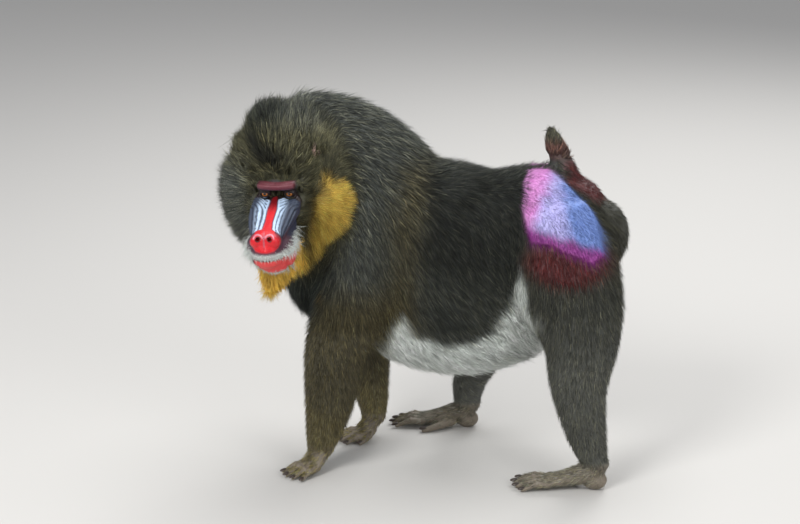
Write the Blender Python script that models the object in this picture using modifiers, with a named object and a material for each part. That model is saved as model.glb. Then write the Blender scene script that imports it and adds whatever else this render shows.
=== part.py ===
"""A life-size adult male mandrill, standing on all fours as a still model, head turned to its left.

Metres, +Z up. The body runs along X with the chest towards -X and the rump towards +X, the animal's left
side faces -Y, and every sole and palm rests on z = 0. The flesh is made from lofted tubes and ellipsoids,
blended into two whole skins, one for the body and one for the head. The long coat is a layer of tapered
locks joined to them, and the whole is parted into named nodes with thin cuts.
"""

import math

import bmesh
import bpy
import numpy as np
from mathutils import Euler, Matrix, Vector
from mathutils.bvhtree import BVHTree

for old_object in list(bpy.data.objects):
    bpy.data.objects.remove(old_object)

# Driving sizes
GAP = 0.0003
BODY_VOXEL = 0.006
HEAD_VOXEL = 0.0021
PAW_VOXEL = 0.0028
SIDE_OF = {"left": -1.0, "right": 1.0}

# Where the head sits on the neck, and its turn to the side, down and over in degrees. The face has axes of
# its own, in which forward is along the muzzle, since the thick crest and ruff lean over more than it does
HEAD_PLACE = Vector((-0.197, -0.088, 0.573))
HEAD_TURN = (3.0, 17.0, 9.0)
FACE_PLACE = Vector((-0.1872, -0.088, 0.5657))
FACE_TURN = (0.2, 10.9, 2.4)

EYE_RADIUS = 0.0105
EYE_FORWARD = 0.066
EYE_APART = 0.0225
EYE_UP = 0.010
NOSE_FORWARD = 0.211
NOSTRIL_APART = 0.0105
NOSTRIL_HALVES = (0.010, 0.0042, 0.0036)
LID_THICK = 0.0022
LID_OPENING = (0.0060, 0.0085, 0.0045)
MOUTH_LEVEL = -0.054

# The ruff on each side: how far out its middle sits, and its halves; the neck's turn crowds the left one
RUFF = {"left": (0.054, (0.052, 0.046, 0.096)), "right": (0.066, (0.052, 0.053, 0.104))}

# The brow's bar, and the blue ridge along each side of the nose, in the head's own axes
BROW_PATH = (
    (0.064, -0.046, 0.022),
    (0.076, -0.020, 0.029),
    (0.079, 0.0, 0.029),
    (0.076, 0.020, 0.029),
    (0.064, 0.046, 0.022),
)
RIDGE_PATH = ((0.080, 0.033, -0.012), (0.120, 0.030, -0.012), (0.160, 0.025, -0.016), (0.182, 0.020, -0.022))

# The beard: centre in the head's own axes, half its width and half its depth
BEARD = (
    ((0.120, 0, -0.072), 0.050, 0.040),
    ((0.135, -0.006, -0.100), 0.040, 0.036),
    ((0.150, -0.018, -0.128), 0.025, 0.022),
    ((0.162, -0.030, -0.150), 0.010, 0.010),
)

# Trunk stations: place along the body, top and bottom of the outline with its coat, and half the width
TRUNK = (
    (-0.150, 0.560, 0.350, 0.070),
    (-0.110, 0.600, 0.285, 0.102),
    (-0.050, 0.612, 0.245, 0.122),
    (0.000, 0.612, 0.222, 0.127),
    (0.060, 0.602, 0.188, 0.127),
    (0.120, 0.597, 0.174, 0.125),
    (0.180, 0.597, 0.194, 0.118),
    (0.240, 0.600, 0.255, 0.112),
    (0.300, 0.601, 0.320, 0.105),
    (0.345, 0.574, 0.360, 0.096),
    (0.378, 0.535, 0.385, 0.074),
)

CHEST = ((-0.132, -0.008, 0.412), (0.087, 0.098, 0.142))
BUTTOCK = ((0.334, 0.052, 0.455), (0.088, 0.066, 0.090))

# Tube stations from here on: centre, half the width across the body, half the depth
NECK = (
    ((0.085, 0.000, 0.448), 0.108, 0.108),
    ((0.030, 0.000, 0.480), 0.117, 0.124),
    ((-0.035, -0.004, 0.520), 0.126, 0.144),
    ((-0.100, -0.016, 0.568), 0.120, 0.146),
    ((-0.150, -0.030, 0.598), 0.104, 0.132),
    ((-0.185, -0.055, 0.606), 0.084, 0.106),
)
ARMS = {
    "left": (
        ((-0.030, -0.060, 0.450), 0.070, 0.085),
        ((-0.055, -0.094, 0.370), 0.064, 0.078),
        ((-0.080, -0.110, 0.290), 0.052, 0.066),
        ((-0.094, -0.112, 0.240), 0.048, 0.061),
        ((-0.104, -0.108, 0.150), 0.041, 0.052),
        ((-0.116, -0.104, 0.088), 0.032, 0.039),
        ((-0.125, -0.101, 0.045), 0.024, 0.028),
    ),
    "right": (
        ((-0.030, 0.060, 0.450), 0.070, 0.085),
        ((-0.052, 0.092, 0.360), 0.062, 0.074),
        ((-0.070, 0.104, 0.275), 0.050, 0.060),
        ((-0.070, 0.104, 0.220), 0.045, 0.054),
        ((-0.062, 0.098, 0.150), 0.038, 0.046),
        ((-0.054, 0.086, 0.090), 0.030, 0.036),
        ((-0.048, 0.080, 0.045), 0.023, 0.026),
    ),
}
LEGS = {
    "left": (
        ((0.306, -0.058, 0.480), 0.070, 0.096),
        ((0.330, -0.085, 0.420), 0.070, 0.106),
        ((0.354, -0.106, 0.350), 0.062, 0.094),
        ((0.366, -0.120, 0.285), 0.052, 0.074),
        ((0.364, -0.125, 0.205), 0.042, 0.057),
        ((0.380, -0.122, 0.115), 0.031, 0.042),
        ((0.398, -0.118, 0.052), 0.023, 0.027),
    ),
    "right": (
        ((0.305, 0.058, 0.470), 0.070, 0.098),
        ((0.275, 0.085, 0.400), 0.068, 0.102),
        ((0.232, 0.110, 0.320), 0.058, 0.080),
        ((0.196, 0.128, 0.250), 0.049, 0.062),
        ((0.163, 0.143, 0.175), 0.039, 0.049),
        ((0.133, 0.155, 0.105), 0.030, 0.038),
        ((0.127, 0.162, 0.052), 0.023, 0.028),
    ),
}
TAIL = (
    ((0.322, 0.000, 0.560), 0.034, 0.036),
    ((0.312, 0.000, 0.600), 0.026, 0.027),
    ((0.300, 0.000, 0.635), 0.018, 0.017),
    ((0.295, 0.000, 0.650), 0.012, 0.011),
)

# Hands and feet: where the wrist or ankle stands over the floor, and the digits' heading, 180 being forward
HANDS = {"left": ((-0.125, -0.101), 226.0), "right": ((-0.049, 0.080), 206.0)}
FEET = {"left": ((0.398, -0.118), 184.0), "right": ((0.128, 0.162), 180.0)}

# Digits, from the inner side outward: place across the paw, fan in degrees, length and radius
FINGERS = (
    (0.0195, 11.0, 0.041, 0.0082),
    (0.0065, 3.5, 0.047, 0.0086),
    (-0.0065, -3.5, 0.045, 0.0084),
    (-0.0190, -11.0, 0.038, 0.0076),
)
TOES = (
    (0.0205, 9.0, 0.052, 0.0086),
    (0.0068, 3.0, 0.059, 0.0090),
    (-0.0068, -3.0, 0.056, 0.0088),
    (-0.0200, -9.0, 0.046, 0.0080),
)
SOLE_DIP = 0.0015

# How finely each skin is made
BODY_TRIANGLES = 1650
HEAD_TRIANGLES = 1900
PAW_TRIANGLES = 270

# The ears: place of the cup on the head's left, its halves and the depth of the cup
EAR_PLACE = {"left": (-0.004, 0.080, 0.046), "right": (-0.012, 0.068, 0.040)}
EAR_HALVES = (0.015, 0.008, 0.021)
EAR_TURN = (0.0, -12.0, 32.0)

CELL_REACH = 1.2

# The long coat is built as locks over a core, which lies this far inside the outline in each form
CORE_DEPTH = {
    "crest": 0.026, "ruff": 0.022, "neck": 0.016, "chest": 0.012, "belly": 0.014, "beard": 0.012,
}
LEAST_CORE = 0.4
LOCK_SEED = 23
LOCK_THICKNESS = 0.009

# A lock's sections: place along it, share of its rise off the skin, and shares of its width and thickness.
# The stiffness is how far it springs clear of the skin that it bends round, from 0, lying close, to 1,
# straight, and the least bend is the cosine of the sharpest turn that it follows from section to section
LOCK_SECTIONS = ((0.0, -1.0, 0.75, 1.0), (0.36, 0.55, 1.0, 1.0), (0.74, 0.95, 0.62, 0.8))
LOCK_STIFFNESS = 0.35
LEAST_BEND = 0.75

# Each region of long coat: how many locks, their length, width and rise off the core, the axes that the next
# two use, where the roots are, and which way the hair lies there
COAT_REGIONS = (
    (17, 0.074, 0.047, 0.020, "head",
     lambda u, v, w: w > 0.052 and -0.10 < u < 0.058 and abs(v) < 0.075,
     lambda u, v, w: (-0.75, 6.0 * v, 0.60)),
    (26, 0.066, 0.042, 0.020, "head",
     lambda u, v, w: -0.13 < w <= 0.052 and -0.040 < u < 0.050 and 0.058 < abs(v) < 0.130,
     lambda u, v, w: (-0.30, 0.9 if v > 0 else -0.9, -0.25 + 4.0 * w)),
    (9, 0.050, 0.028, 0.009, "face",
     lambda u, v, w: -0.17 < w < -0.072 and u > 0.095 and abs(v) < 0.06,
     lambda u, v, w: (0.10, -0.25, -0.95)),
    (22, 0.092, 0.062, 0.018, "body",
     lambda x, y, z: x < 0.06 and z > 0.565 and (x + 0.2) ** 2 + (y + 0.1) ** 2 > 0.0081,
     lambda x, y, z: (0.85, 1.5 * y, -0.45)),
    (13, 0.090, 0.058, 0.012, "body",
     lambda x, y, z: -0.20 < x < 0.02 and 0.34 < z <= 0.565 and abs(y) > 0.05 and (y > 0 or x > -0.10),
     lambda x, y, z: (0.42, 0.1 if y > 0 else -0.1, -0.9)),
    (11, 0.070, 0.052, 0.012, "body",
     lambda x, y, z: 0.0 < x < 0.20 and z < 0.25 and abs(y) < 0.10 and (y < 0.04 or x < 0.10),
     lambda x, y, z: (0.55, 1.5 * y, -0.80)),
)

# Where the limbs part: the wrists' and ankles' level, the plane between the paws, and for each length of
# limb the plane that bounds it fore or aft, two points of (across, up) on its plane against the trunk, and
# its top
PAW_TOP = 0.058
BETWEEN_PAWS = (0.088, 0.0, 0.0)
LIMB_TOP = 0.42
LIMB_CUTS = (
    ("forearm", "left", ((-0.018, 0, 0.285), (1, 0, -0.1)), (0.045, 0.25), (0.150, 0.40), 0.285),
    ("upper_arm", "left", ((-0.018, 0, 0.285), (0.92, 0, -0.385)), (0.045, 0.25), (0.150, 0.40), LIMB_TOP),
    ("forearm", "right", ((-0.014, 0, 0.265), (1, 0, -0.1)), (0.045, 0.25), (0.150, 0.40), 0.265),
    ("upper_arm", "right", ((-0.014, 0, 0.265), (0.92, 0, -0.385)), (0.045, 0.25), (0.150, 0.40), LIMB_TOP),
    ("shank", "left", ((0.275, 0, 0.0), (-1, 0, 0)), (0.035, 0.29), (0.160, 0.50), 0.275),
    ("thigh", "left", ((0.262, 0, 0.275), (-1, 0, 0)), (0.035, 0.29), (0.160, 0.50), LIMB_TOP),
    ("shank", "right", ((0.070, 0, 0), (-1, 0, 0)), (0.072, 0.25), (0.118, 0.36), 0.245),
    ("thigh", "right", ((0.138, 0, 0.245), (-1, 0, 0.2)), (0.072, 0.25), (0.118, 0.36), LIMB_TOP),
)

# Each kind of node's colour and roughness
COLOURS = {
    "body": ((0.060, 0.057, 0.045), 0.85),
    "head": ((0.110, 0.095, 0.050), 0.85),
    "neck": ((0.045, 0.043, 0.036), 0.85),
    "muzzle": ((0.30, 0.42, 0.62), 0.45),
    "jaw": ((0.62, 0.42, 0.14), 0.80),
    "eye": ((0.25, 0.11, 0.03), 0.15),
    "ear": ((0.35, 0.22, 0.19), 0.55),
    "belly": ((0.45, 0.44, 0.41), 0.85),
    "rump": ((0.42, 0.30, 0.48), 0.60),
    "tail": ((0.040, 0.038, 0.032), 0.85),
    "forearm": ((0.14, 0.125, 0.060), 0.85),
    "hand": ((0.36, 0.28, 0.14), 0.60),
    "foot": ((0.30, 0.24, 0.15), 0.60),
}


def new_object(name, mesh):
    made = bpy.data.objects.new(name, mesh)
    bpy.context.scene.collection.objects.link(made)
    return made


def mesh_of(build, name="form"):
    """A new object from a function that fills a bmesh."""
    shape = bmesh.new()
    build(shape)
    bmesh.ops.recalc_face_normals(shape, faces=shape.faces)
    mesh = bpy.data.meshes.new(name)
    shape.to_mesh(mesh)
    shape.free()
    return new_object(name, mesh)


def ellipsoid(centre, halves, turn=(0.0, 0.0, 0.0), segments=24):
    """A closed ellipsoid; turn is in degrees."""
    place = (
        Matrix.Translation(Vector(centre))
        @ Euler([math.radians(a) for a in turn]).to_matrix().to_4x4()
        @ Matrix.Diagonal((*halves, 1.0))
    )
    return mesh_of(
        lambda shape: bmesh.ops.create_uvsphere(
            shape, u_segments=segments, v_segments=segments // 2, radius=1.0, matrix=place
        )
    )


def smooth_path(values, steps):
    """Catmull-Rom interpolation of rows of numbers, passing through each of them."""
    rows = np.array(values, float)
    padded = np.vstack([2 * rows[0] - rows[1], rows, 2 * rows[-1] - rows[-2]])
    made = []
    for i in range(len(rows) - 1):
        a, b, c, d = padded[i : i + 4]
        for t in np.arange(steps) / steps:
            made.append(
                b
                + 0.5 * (c - a) * t
                + 0.5 * (2 * a - 5 * b + 4 * c - d) * t**2
                + 0.5 * (3 * b - a - 3 * c + d) * t**3
            )
    return np.array(made + [rows[-1]])


def loft(stations, across=(0.0, 1.0, 0.0), sides=20, steps=4):
    """A closed tube through stations of (centre, half width, half depth), with rounded ends."""
    rows = smooth_path([(*centre, width, depth) for centre, width, depth in stations], steps)
    centres = [Vector(row[:3]) for row in rows]
    last = len(rows) - 1
    tangents = [(centres[min(i + 1, last)] - centres[max(i - 1, 0)]).normalized() for i in range(last + 1)]
    rings = []
    for end, order in ((0, (75, 50, 25)), (None, None), (-1, (25, 50, 75))):
        if end is None:
            rings += [(centres[i], tangents[i], rows[i][3], rows[i][4]) for i in range(len(rows))]
            continue
        outward = tangents[end] * (-1 if end == 0 else 1)
        reach = min(rows[end][3], rows[end][4])
        for angle in order:
            shrink = math.cos(math.radians(angle))
            centre = centres[end] + outward * reach * math.sin(math.radians(angle))
            rings.append((centre, tangents[end], rows[end][3] * shrink, rows[end][4] * shrink))

    def build(shape):
        loops = []
        for centre, tangent, width, depth in rings:
            side = (Vector(across) - Vector(across).dot(tangent) * tangent).normalized()
            other = tangent.cross(side)
            loops.append([
                shape.verts.new(
                    centre
                    + side * width * math.cos(2 * math.pi * k / sides)
                    + other * depth * math.sin(2 * math.pi * k / sides)
                )
                for k in range(sides)
            ])
        for first, second in zip(loops, loops[1:]):
            for k in range(sides):
                n = (k + 1) % sides
                shape.faces.new((first[k], first[n], second[n], second[k]))
        shape.faces.new(list(reversed(loops[0])))
        shape.faces.new(loops[-1])

    return mesh_of(build)


def tube(points, radii, sides=12, steps=5, across=(0.0, 1.0, 0.0)):
    return loft([(p, r, r) for p, r in zip(points, radii)], across, sides, steps)


def apply_modifiers(thing):
    """Replaces the object's mesh with its evaluated one."""
    bpy.context.view_layer.update()
    graph = bpy.context.evaluated_depsgraph_get()
    mesh = bpy.data.meshes.new_from_object(thing.evaluated_get(graph))
    old = thing.data
    thing.modifiers.clear()
    thing.data = mesh
    bpy.data.meshes.remove(old)
    return thing


def remove(*things):
    for thing in things:
        bpy.data.objects.remove(thing)


def blended(name, forms, voxel, smoothing, triangles):
    """One closed skin round overlapping forms: remeshed, smoothed and thinned to a number of triangles."""
    shape = bmesh.new()
    for form in forms:
        shape.from_mesh(form.data)
    mesh = bpy.data.meshes.new(name)
    shape.to_mesh(mesh)
    shape.free()
    remove(*forms)
    skin = new_object(name, mesh)
    remesh = skin.modifiers.new("one_skin", "REMESH")
    remesh.mode = "VOXEL"
    remesh.voxel_size = voxel
    soften = skin.modifiers.new("soften", "SMOOTH")
    soften.factor = 0.5
    soften.iterations = smoothing
    apply_modifiers(skin)
    thin = skin.modifiers.new("thin", "DECIMATE")
    thin.ratio = triangles / (2 * len(skin.data.polygons))
    thin.use_collapse_triangulate = True
    return apply_modifiers(skin)


def thinner(halves, form):
    """An ellipsoid's halves without the part of its coat that the locks make up."""
    return [half - CORE_DEPTH[form] for half in halves]


def core_of(stations, form):
    """A tube's stations without the part of their coat that the locks make up."""
    depth = CORE_DEPTH[form]
    return [
        (centre, max(width - depth, LEAST_CORE * width), max(high - depth, LEAST_CORE * high))
        for centre, width, high in stations
    ]


def trunk_forms():
    """The barrel of the body, and the deep front of the chest."""
    barrel = []
    for x, top, low, half in TRUNK:
        fringe = CORE_DEPTH["belly"] if x < 0.30 else 0.0
        mantle = CORE_DEPTH["chest"] if x < 0.03 else 0.0
        barrel.append(((x, 0.0, (top + low + fringe) / 2), half - mantle, (top - low - fringe) / 2))
    (x, y, z), halves = BUTTOCK
    buttocks = [ellipsoid((x, y * sign, z), halves) for sign in SIDE_OF.values()]
    return [loft(barrel, sides=28), ellipsoid(CHEST[0], thinner(CHEST[1], "chest"))] + buttocks


def body_forms():
    forms = trunk_forms() + [loft(core_of(NECK, "neck"), sides=28), loft(TAIL)]
    for side in SIDE_OF:
        forms += [loft(ARMS[side]), loft(LEGS[side])]
    return forms


def axes_at(place, turns):
    """From axes of forward, left and up, turned to the side, down and over at a place, to the body's."""
    yaw, pitch, roll = (math.radians(angle) for angle in turns)
    forward = Vector((math.sin(yaw), -math.cos(yaw), 0.0))
    left = Vector((math.cos(yaw), math.sin(yaw), 0.0))
    up = Vector((0.0, 0.0, 1.0))
    nod = forward * math.cos(pitch) - up * math.sin(pitch)
    rise = up * math.cos(pitch) + forward * math.sin(pitch)
    tilt_left = left * math.cos(roll) + rise * math.sin(roll)
    tilt_up = rise * math.cos(roll) - left * math.sin(roll)
    turn = Matrix((nod, tilt_left, tilt_up)).transposed()
    return Matrix.Translation(place) @ turn.to_4x4()


def head_matrix():
    return axes_at(HEAD_PLACE, HEAD_TURN)


def face_matrix():
    return axes_at(FACE_PLACE, FACE_TURN)


def mane_forms():
    """The skull with its crest and ruff, in the head's axes."""
    forms = [
        ellipsoid((-0.015, 0, 0.0), (0.078, 0.064, 0.060)),
        ellipsoid((-0.034, 0, 0.050), thinner((0.082, 0.060, 0.088), "crest")),
    ]
    for side, (reach, ruff_halves) in RUFF.items():
        sign = -SIDE_OF[side]
        forms += [
            ellipsoid((0.002, reach * sign, -0.040), thinner(ruff_halves, "ruff")),
            ellipsoid((-0.012, 0.052 * sign, 0.030), (0.050, 0.030, 0.062)),
        ]
    return forms


def face_forms():
    """The brow, muzzle, lips, cheeks and beard, in the face's axes."""
    forms = [
        tube(BROW_PATH, (0.009, 0.011, 0.010, 0.011, 0.009)),
        loft((
            ((0.045, 0, -0.042), 0.056, 0.048),
            ((0.085, 0, -0.044), 0.044, 0.045),
            ((0.125, 0, -0.046), 0.039, 0.042),
            ((0.165, 0, -0.046), 0.036, 0.038),
            ((0.190, 0, -0.046), 0.031, 0.033),
        )),
        ellipsoid((0.150, 0, -0.076), (0.045, 0.037, 0.022)),
        ellipsoid((0.196, 0, -0.024), (0.017, 0.029, 0.022)),
        ellipsoid((0.185, 0, -0.072), (0.020, 0.024, 0.020)),
        loft(core_of(BEARD, "beard")),
    ]
    for sign in (-1, 1):
        forms += [
            ellipsoid((0.045, 0.040 * sign, -0.025), (0.045, 0.028, 0.040)),
            ellipsoid((0.165, 0.022 * sign, -0.045), (0.035, 0.020, 0.018)),
            ellipsoid((0.204, 0.015 * sign, -0.020), (0.011, 0.012, 0.012)),
            tube([(u, v * sign, w) for u, v, w in RIDGE_PATH], (0.013, 0.013, 0.011, 0.008)),
        ]
    return forms


def paw_matrix(place, heading):
    """From a paw's own axes, digits forward, left and up from the floor, to the body's."""
    return Matrix.Translation((*place, 0.0)) @ Matrix.Rotation(math.radians(heading), 4, "Z")


def digits(row, base, inner, nails):
    """Fingers or toes fanned across the front of a paw; the place of each nail is added to nails."""
    forms = []
    for across, fan, length, radius in row:
        turn = math.radians(fan * inner)
        aim = Vector((math.cos(turn), math.sin(turn), 0))
        tip_radius = radius * 0.78
        start = Vector((base, across * inner, radius + 0.004))
        knuckle = start + aim * length * 0.45 + Vector((0, 0, 0.002))
        tip = Vector((*(start + aim * length).xy, tip_radius - SOLE_DIP))
        forms.append(tube((start, knuckle, tip), (radius, radius * 0.95, tip_radius)))
        nails.append((tip + Vector((0, 0, tip_radius * 0.75)) + aim * tip_radius * 0.45, turn, tip_radius))
    return forms


def hand_forms(side, nails):
    inner = SIDE_OF[side]
    forms = [
        loft((
            ((-0.001, 0, 0.062), 0.024, 0.027),
            ((0.004, 0, 0.042), 0.025, 0.021),
            ((0.014, 0, 0.025), 0.028, 0.016),
            ((0.028, 0, 0.013), 0.028, 0.012),
        )),
    ]
    forms += digits(FINGERS, 0.024, inner, nails)
    thumb = ((0.006, inner * 0.018, 0.022), (0.024, inner * 0.031, 0.011), (0.040, inner * 0.036, 0.004))
    forms.append(tube(thumb, (0.009, 0.0078, 0.0065)))
    nails.append((Vector((0.042, inner * 0.0365, 0.0095)), 0.0, 0.0062))
    return forms


def foot_forms(side, nails):
    inner = SIDE_OF[side]
    forms = [
        ellipsoid((0.000, 0, 0.018), (0.026, 0.020, 0.021)),
        loft((
            ((-0.004, 0, 0.056), 0.022, 0.027),
            ((0.014, 0, 0.034), 0.022, 0.024),
            ((0.052, 0, 0.021), 0.023, 0.017),
            ((0.092, 0, 0.013), 0.028, 0.011),
        )),
    ]
    forms += digits(TOES, 0.088, inner, nails)
    thumb = ((0.030, inner * 0.014, 0.014), (0.058, inner * 0.036, 0.010), (0.082, inner * 0.045, 0.004))
    forms.append(tube(thumb, (0.012, 0.0095, 0.0075)))
    nails.append((Vector((0.084, inner * 0.0455, 0.0105)), 0.0, 0.0072))
    return forms


def paw(maker, side, place, heading):
    """A hand or a foot as one closed skin with its nails raised on it, turned and set on the floor."""
    nails = []
    skin = blended("paw", maker(side, nails), PAW_VOXEL, 3, PAW_TRIANGLES)
    plates = [
        ellipsoid(spot, (size * 0.85, size * 0.62, size * 0.26), (0, 12, math.degrees(turn)), 6)
        for spot, turn, size in nails
    ]
    union_all(skin, plates)
    skin.data.transform(paw_matrix(place, heading))
    return skin


def face():
    """The head's own skin with lids round each eye's socket, and nostrils."""
    mane = mane_forms()
    for form in mane:
        form.data.transform(face_matrix().inverted() @ head_matrix())
    skin = blended("face", mane + face_forms(), HEAD_VOXEL, 4, HEAD_TRIANGLES)
    for sign in (-1, 1):
        spot = (EYE_FORWARD, EYE_APART * sign, EYE_UP)
        between_lids = (EYE_FORWARD + EYE_RADIUS, EYE_APART * sign, EYE_UP - 0.0005)
        nostril = (NOSE_FORWARD - 0.001, NOSTRIL_APART * sign, -0.018)
        boolean(skin, ellipsoid(spot, (EYE_RADIUS + LID_THICK,) * 3, segments=12), "UNION")
        boolean(skin, ellipsoid(spot, (EYE_RADIUS + GAP,) * 3, segments=12), "DIFFERENCE")
        boolean(skin, ellipsoid(between_lids, LID_OPENING, segments=12), "DIFFERENCE")
        boolean(skin, ellipsoid(nostril, NOSTRIL_HALVES, (0, -20, 0), 10), "DIFFERENCE")
    skin.data.transform(face_matrix())
    return skin


def eye(side):
    sign = -SIDE_OF[side]
    ball = ellipsoid((EYE_FORWARD, EYE_APART * sign, EYE_UP), (EYE_RADIUS,) * 3, segments=12)
    ball.data.transform(face_matrix())
    ball.name = "eye_" + side
    return ball


def ear_and_pocket(side):
    """A cupped ear, and the slightly larger pocket that it sits in."""
    sign = -SIDE_OF[side]
    forward, across, rise = EAR_PLACE[side]
    place = Vector((forward, across * sign, rise))
    turn = (0.0, EAR_TURN[1], -EAR_TURN[2] * sign)
    ear = ellipsoid(place, EAR_HALVES, turn, 10)
    outward = Vector((0.6, sign, 0)).normalized()
    cup = ellipsoid(place + outward * 0.008, (0.011, 0.009, 0.017), turn, 8)
    boolean(ear, cup, "DIFFERENCE")
    pocket = ellipsoid(place, [half + GAP for half in EAR_HALVES], turn, 10)
    boolean(pocket, ellipsoid(place + outward * 0.030, (0.017, 0.030, 0.021), turn, 10), "UNION")
    for thing in (ear, pocket):
        thing.data.transform(head_matrix())
    ear.name = "ear_" + side
    return ear, pocket


def boolean(thing, other, operation):
    """Cuts or joins two closed meshes, applied; the other one is removed."""
    cut = thing.modifiers.new("cut", "BOOLEAN")
    cut.operation = operation
    cut.solver = "MANIFOLD"
    cut.object = other
    apply_modifiers(thing)
    remove(other)
    return thing


def union_all(core, pieces):
    """Joins every closed piece to the core in one Boolean union."""
    group = bpy.data.collections.new("joined_pieces")
    for piece in pieces:
        group.objects.link(piece)
    join = core.modifiers.new("join", "BOOLEAN")
    join.operand_type = "COLLECTION"
    join.operation = "UNION"
    join.solver = "MANIFOLD"
    join.collection = group
    apply_modifiers(core)
    remove(*pieces)
    bpy.data.collections.remove(group)
    return core


def mended(thing):
    """Drops the points that a Boolean leaves along straight edges, and splits what is left into triangles."""
    shape = bmesh.new()
    shape.from_mesh(thing.data)
    bmesh.ops.dissolve_verts(shape, verts=[v for v in shape.verts if len(v.link_edges) == 2])
    bmesh.ops.triangulate(shape, faces=shape.faces)
    shape.to_mesh(thing.data)
    shape.free()
    return thing


def keep_largest(thing):
    """Keeps only the closed surface that encloses the most, so that no sealed hollow or scrap is left."""
    shape = bmesh.new()
    shape.from_mesh(thing.data)
    left = set(shape.faces)
    surfaces = []
    while left:
        found, front = set(), [next(iter(left))]
        left.discard(front[0])
        while front:
            face = front.pop()
            found.add(face)
            for edge in face.edges:
                for near in edge.link_faces:
                    if near in left:
                        left.discard(near)
                        front.append(near)
        volume = sum(
            f.verts[0].co.dot(f.verts[i].co.cross(f.verts[i + 1].co))
            for f in found
            for i in range(1, len(f.verts) - 1)
        )
        surfaces.append((volume, found))
    surfaces.sort(key=lambda pair: -pair[0])
    scraps = [face for _, found in surfaces[1:] for face in found]
    bmesh.ops.delete(shape, geom=scraps, context="FACES")
    bmesh.ops.delete(shape, geom=[v for v in shape.verts if not v.link_faces], context="VERTS")
    shape.to_mesh(thing.data)
    shape.free()
    return thing


def lock(path, width, thickness, rise):
    """A flat tapered lock along a path of (skin point, normal, side), sunk at its root and lifting off."""

    def build(shape):
        loops = []
        for (spot, normal, across), (_, out, wide, thick) in zip(path, LOCK_SECTIONS):
            side = across * width * wide / 2
            centre = spot + normal * (rise * out - thickness * (out < 0))
            up = normal * thickness * thick / 2
            loops.append([shape.verts.new(centre + corner) for corner in (side - up, up, -side - up)])
        spot, normal, _ = path[-1]
        tip = shape.verts.new(spot + normal * rise)
        for first, second in zip(loops, loops[1:]):
            for k in range(3):
                n = (k + 1) % 3
                shape.faces.new((first[k], first[n], second[n], second[k]))
        for k in range(3):
            shape.faces.new((loops[-1][k], loops[-1][(k + 1) % 3], tip))
        shape.faces.new(list(reversed(loops[0])))

    return mesh_of(build, "lock")


def path_along(tree, root, lie, length):
    """Points, normals and sides where a lock's sections and its tip lie over the skin, bending with it."""
    path, spot, heading, reached, across = [], root, lie, 0.0, None
    for along in [section[0] for section in LOCK_SECTIONS] + [1.0]:
        aim = spot + heading * length * (along - reached)
        near, skin_normal, _, _ = tree.find_nearest(aim)
        if across is None:
            across = heading.cross(skin_normal).normalized()
        normal = (skin_normal - skin_normal.dot(across) * across).normalized()
        if path and normal.dot(path[-1][1]) < LEAST_BEND:
            normal = path[-1][1]
            near = aim
        spot = near.lerp(aim, LOCK_STIFFNESS)
        heading = (heading - heading.dot(normal) * normal).normalized()
        path.append((spot, normal, across))
        reached = along
    return path


def spread(places, count):
    """Picks places spread as evenly as can be, each the farthest from those already picked."""
    points = np.array([place for place, _ in places])
    picked = [0]
    nearest = np.linalg.norm(points - points[0], axis=1)
    while len(picked) < min(count, len(points)):
        picked.append(int(nearest.argmax()))
        nearest = np.minimum(nearest, np.linalg.norm(points - points[picked[-1]], axis=1))
    return [places[i] for i in picked]


def locks_on(skin):
    """Every lock of the coat, region by region, set on the skin it grows from."""
    rng = np.random.default_rng(LOCK_SEED)
    axes = {"head": head_matrix(), "face": face_matrix(), "body": Matrix.Identity(4)}
    faces = [(face.center.copy(), face.normal.copy()) for face in skin.data.polygons]
    corners = [v.co for v in skin.data.vertices]
    tree = BVHTree.FromPolygons(corners, [list(f.vertices) for f in skin.data.polygons])
    made = []
    for count, length, width, rise, axes_name, region, lie_of in COAT_REGIONS:
        from_own = axes[axes_name]
        to_own = from_own.inverted()
        places = [(centre, normal) for centre, normal in faces if region(*(to_own @ centre))]
        for root, normal in spread(places, count):
            lie = from_own.to_3x3() @ Vector(lie_of(*(to_own @ root)))
            lie = (lie - lie.dot(normal) * normal).normalized()
            lie.rotate(Matrix.Rotation(rng.uniform(-0.22, 0.22), 3, normal))
            size = rng.uniform(0.85, 1.12)
            path = path_along(tree, root, lie, length * size)
            made.append(lock(path, width * size, LOCK_THICKNESS, rise * size))
    return made


def cell_solid(planes, grow=0.0):
    """A convex block bounded by planes of (point, outward normal), grown outward by a small distance."""

    def build(shape):
        bmesh.ops.create_cube(shape, size=2 * CELL_REACH)
        for point, normal in planes:
            outward = Vector(normal).normalized()
            bmesh.ops.bisect_plane(
                shape,
                geom=list(shape.verts) + list(shape.edges) + list(shape.faces),
                plane_co=Vector(point) + outward * grow,
                plane_no=outward,
                clear_outer=True,
            )
            bmesh.ops.holes_fill(shape, edges=[e for e in shape.edges if e.is_boundary])

    return mesh_of(build, "cell")


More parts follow.
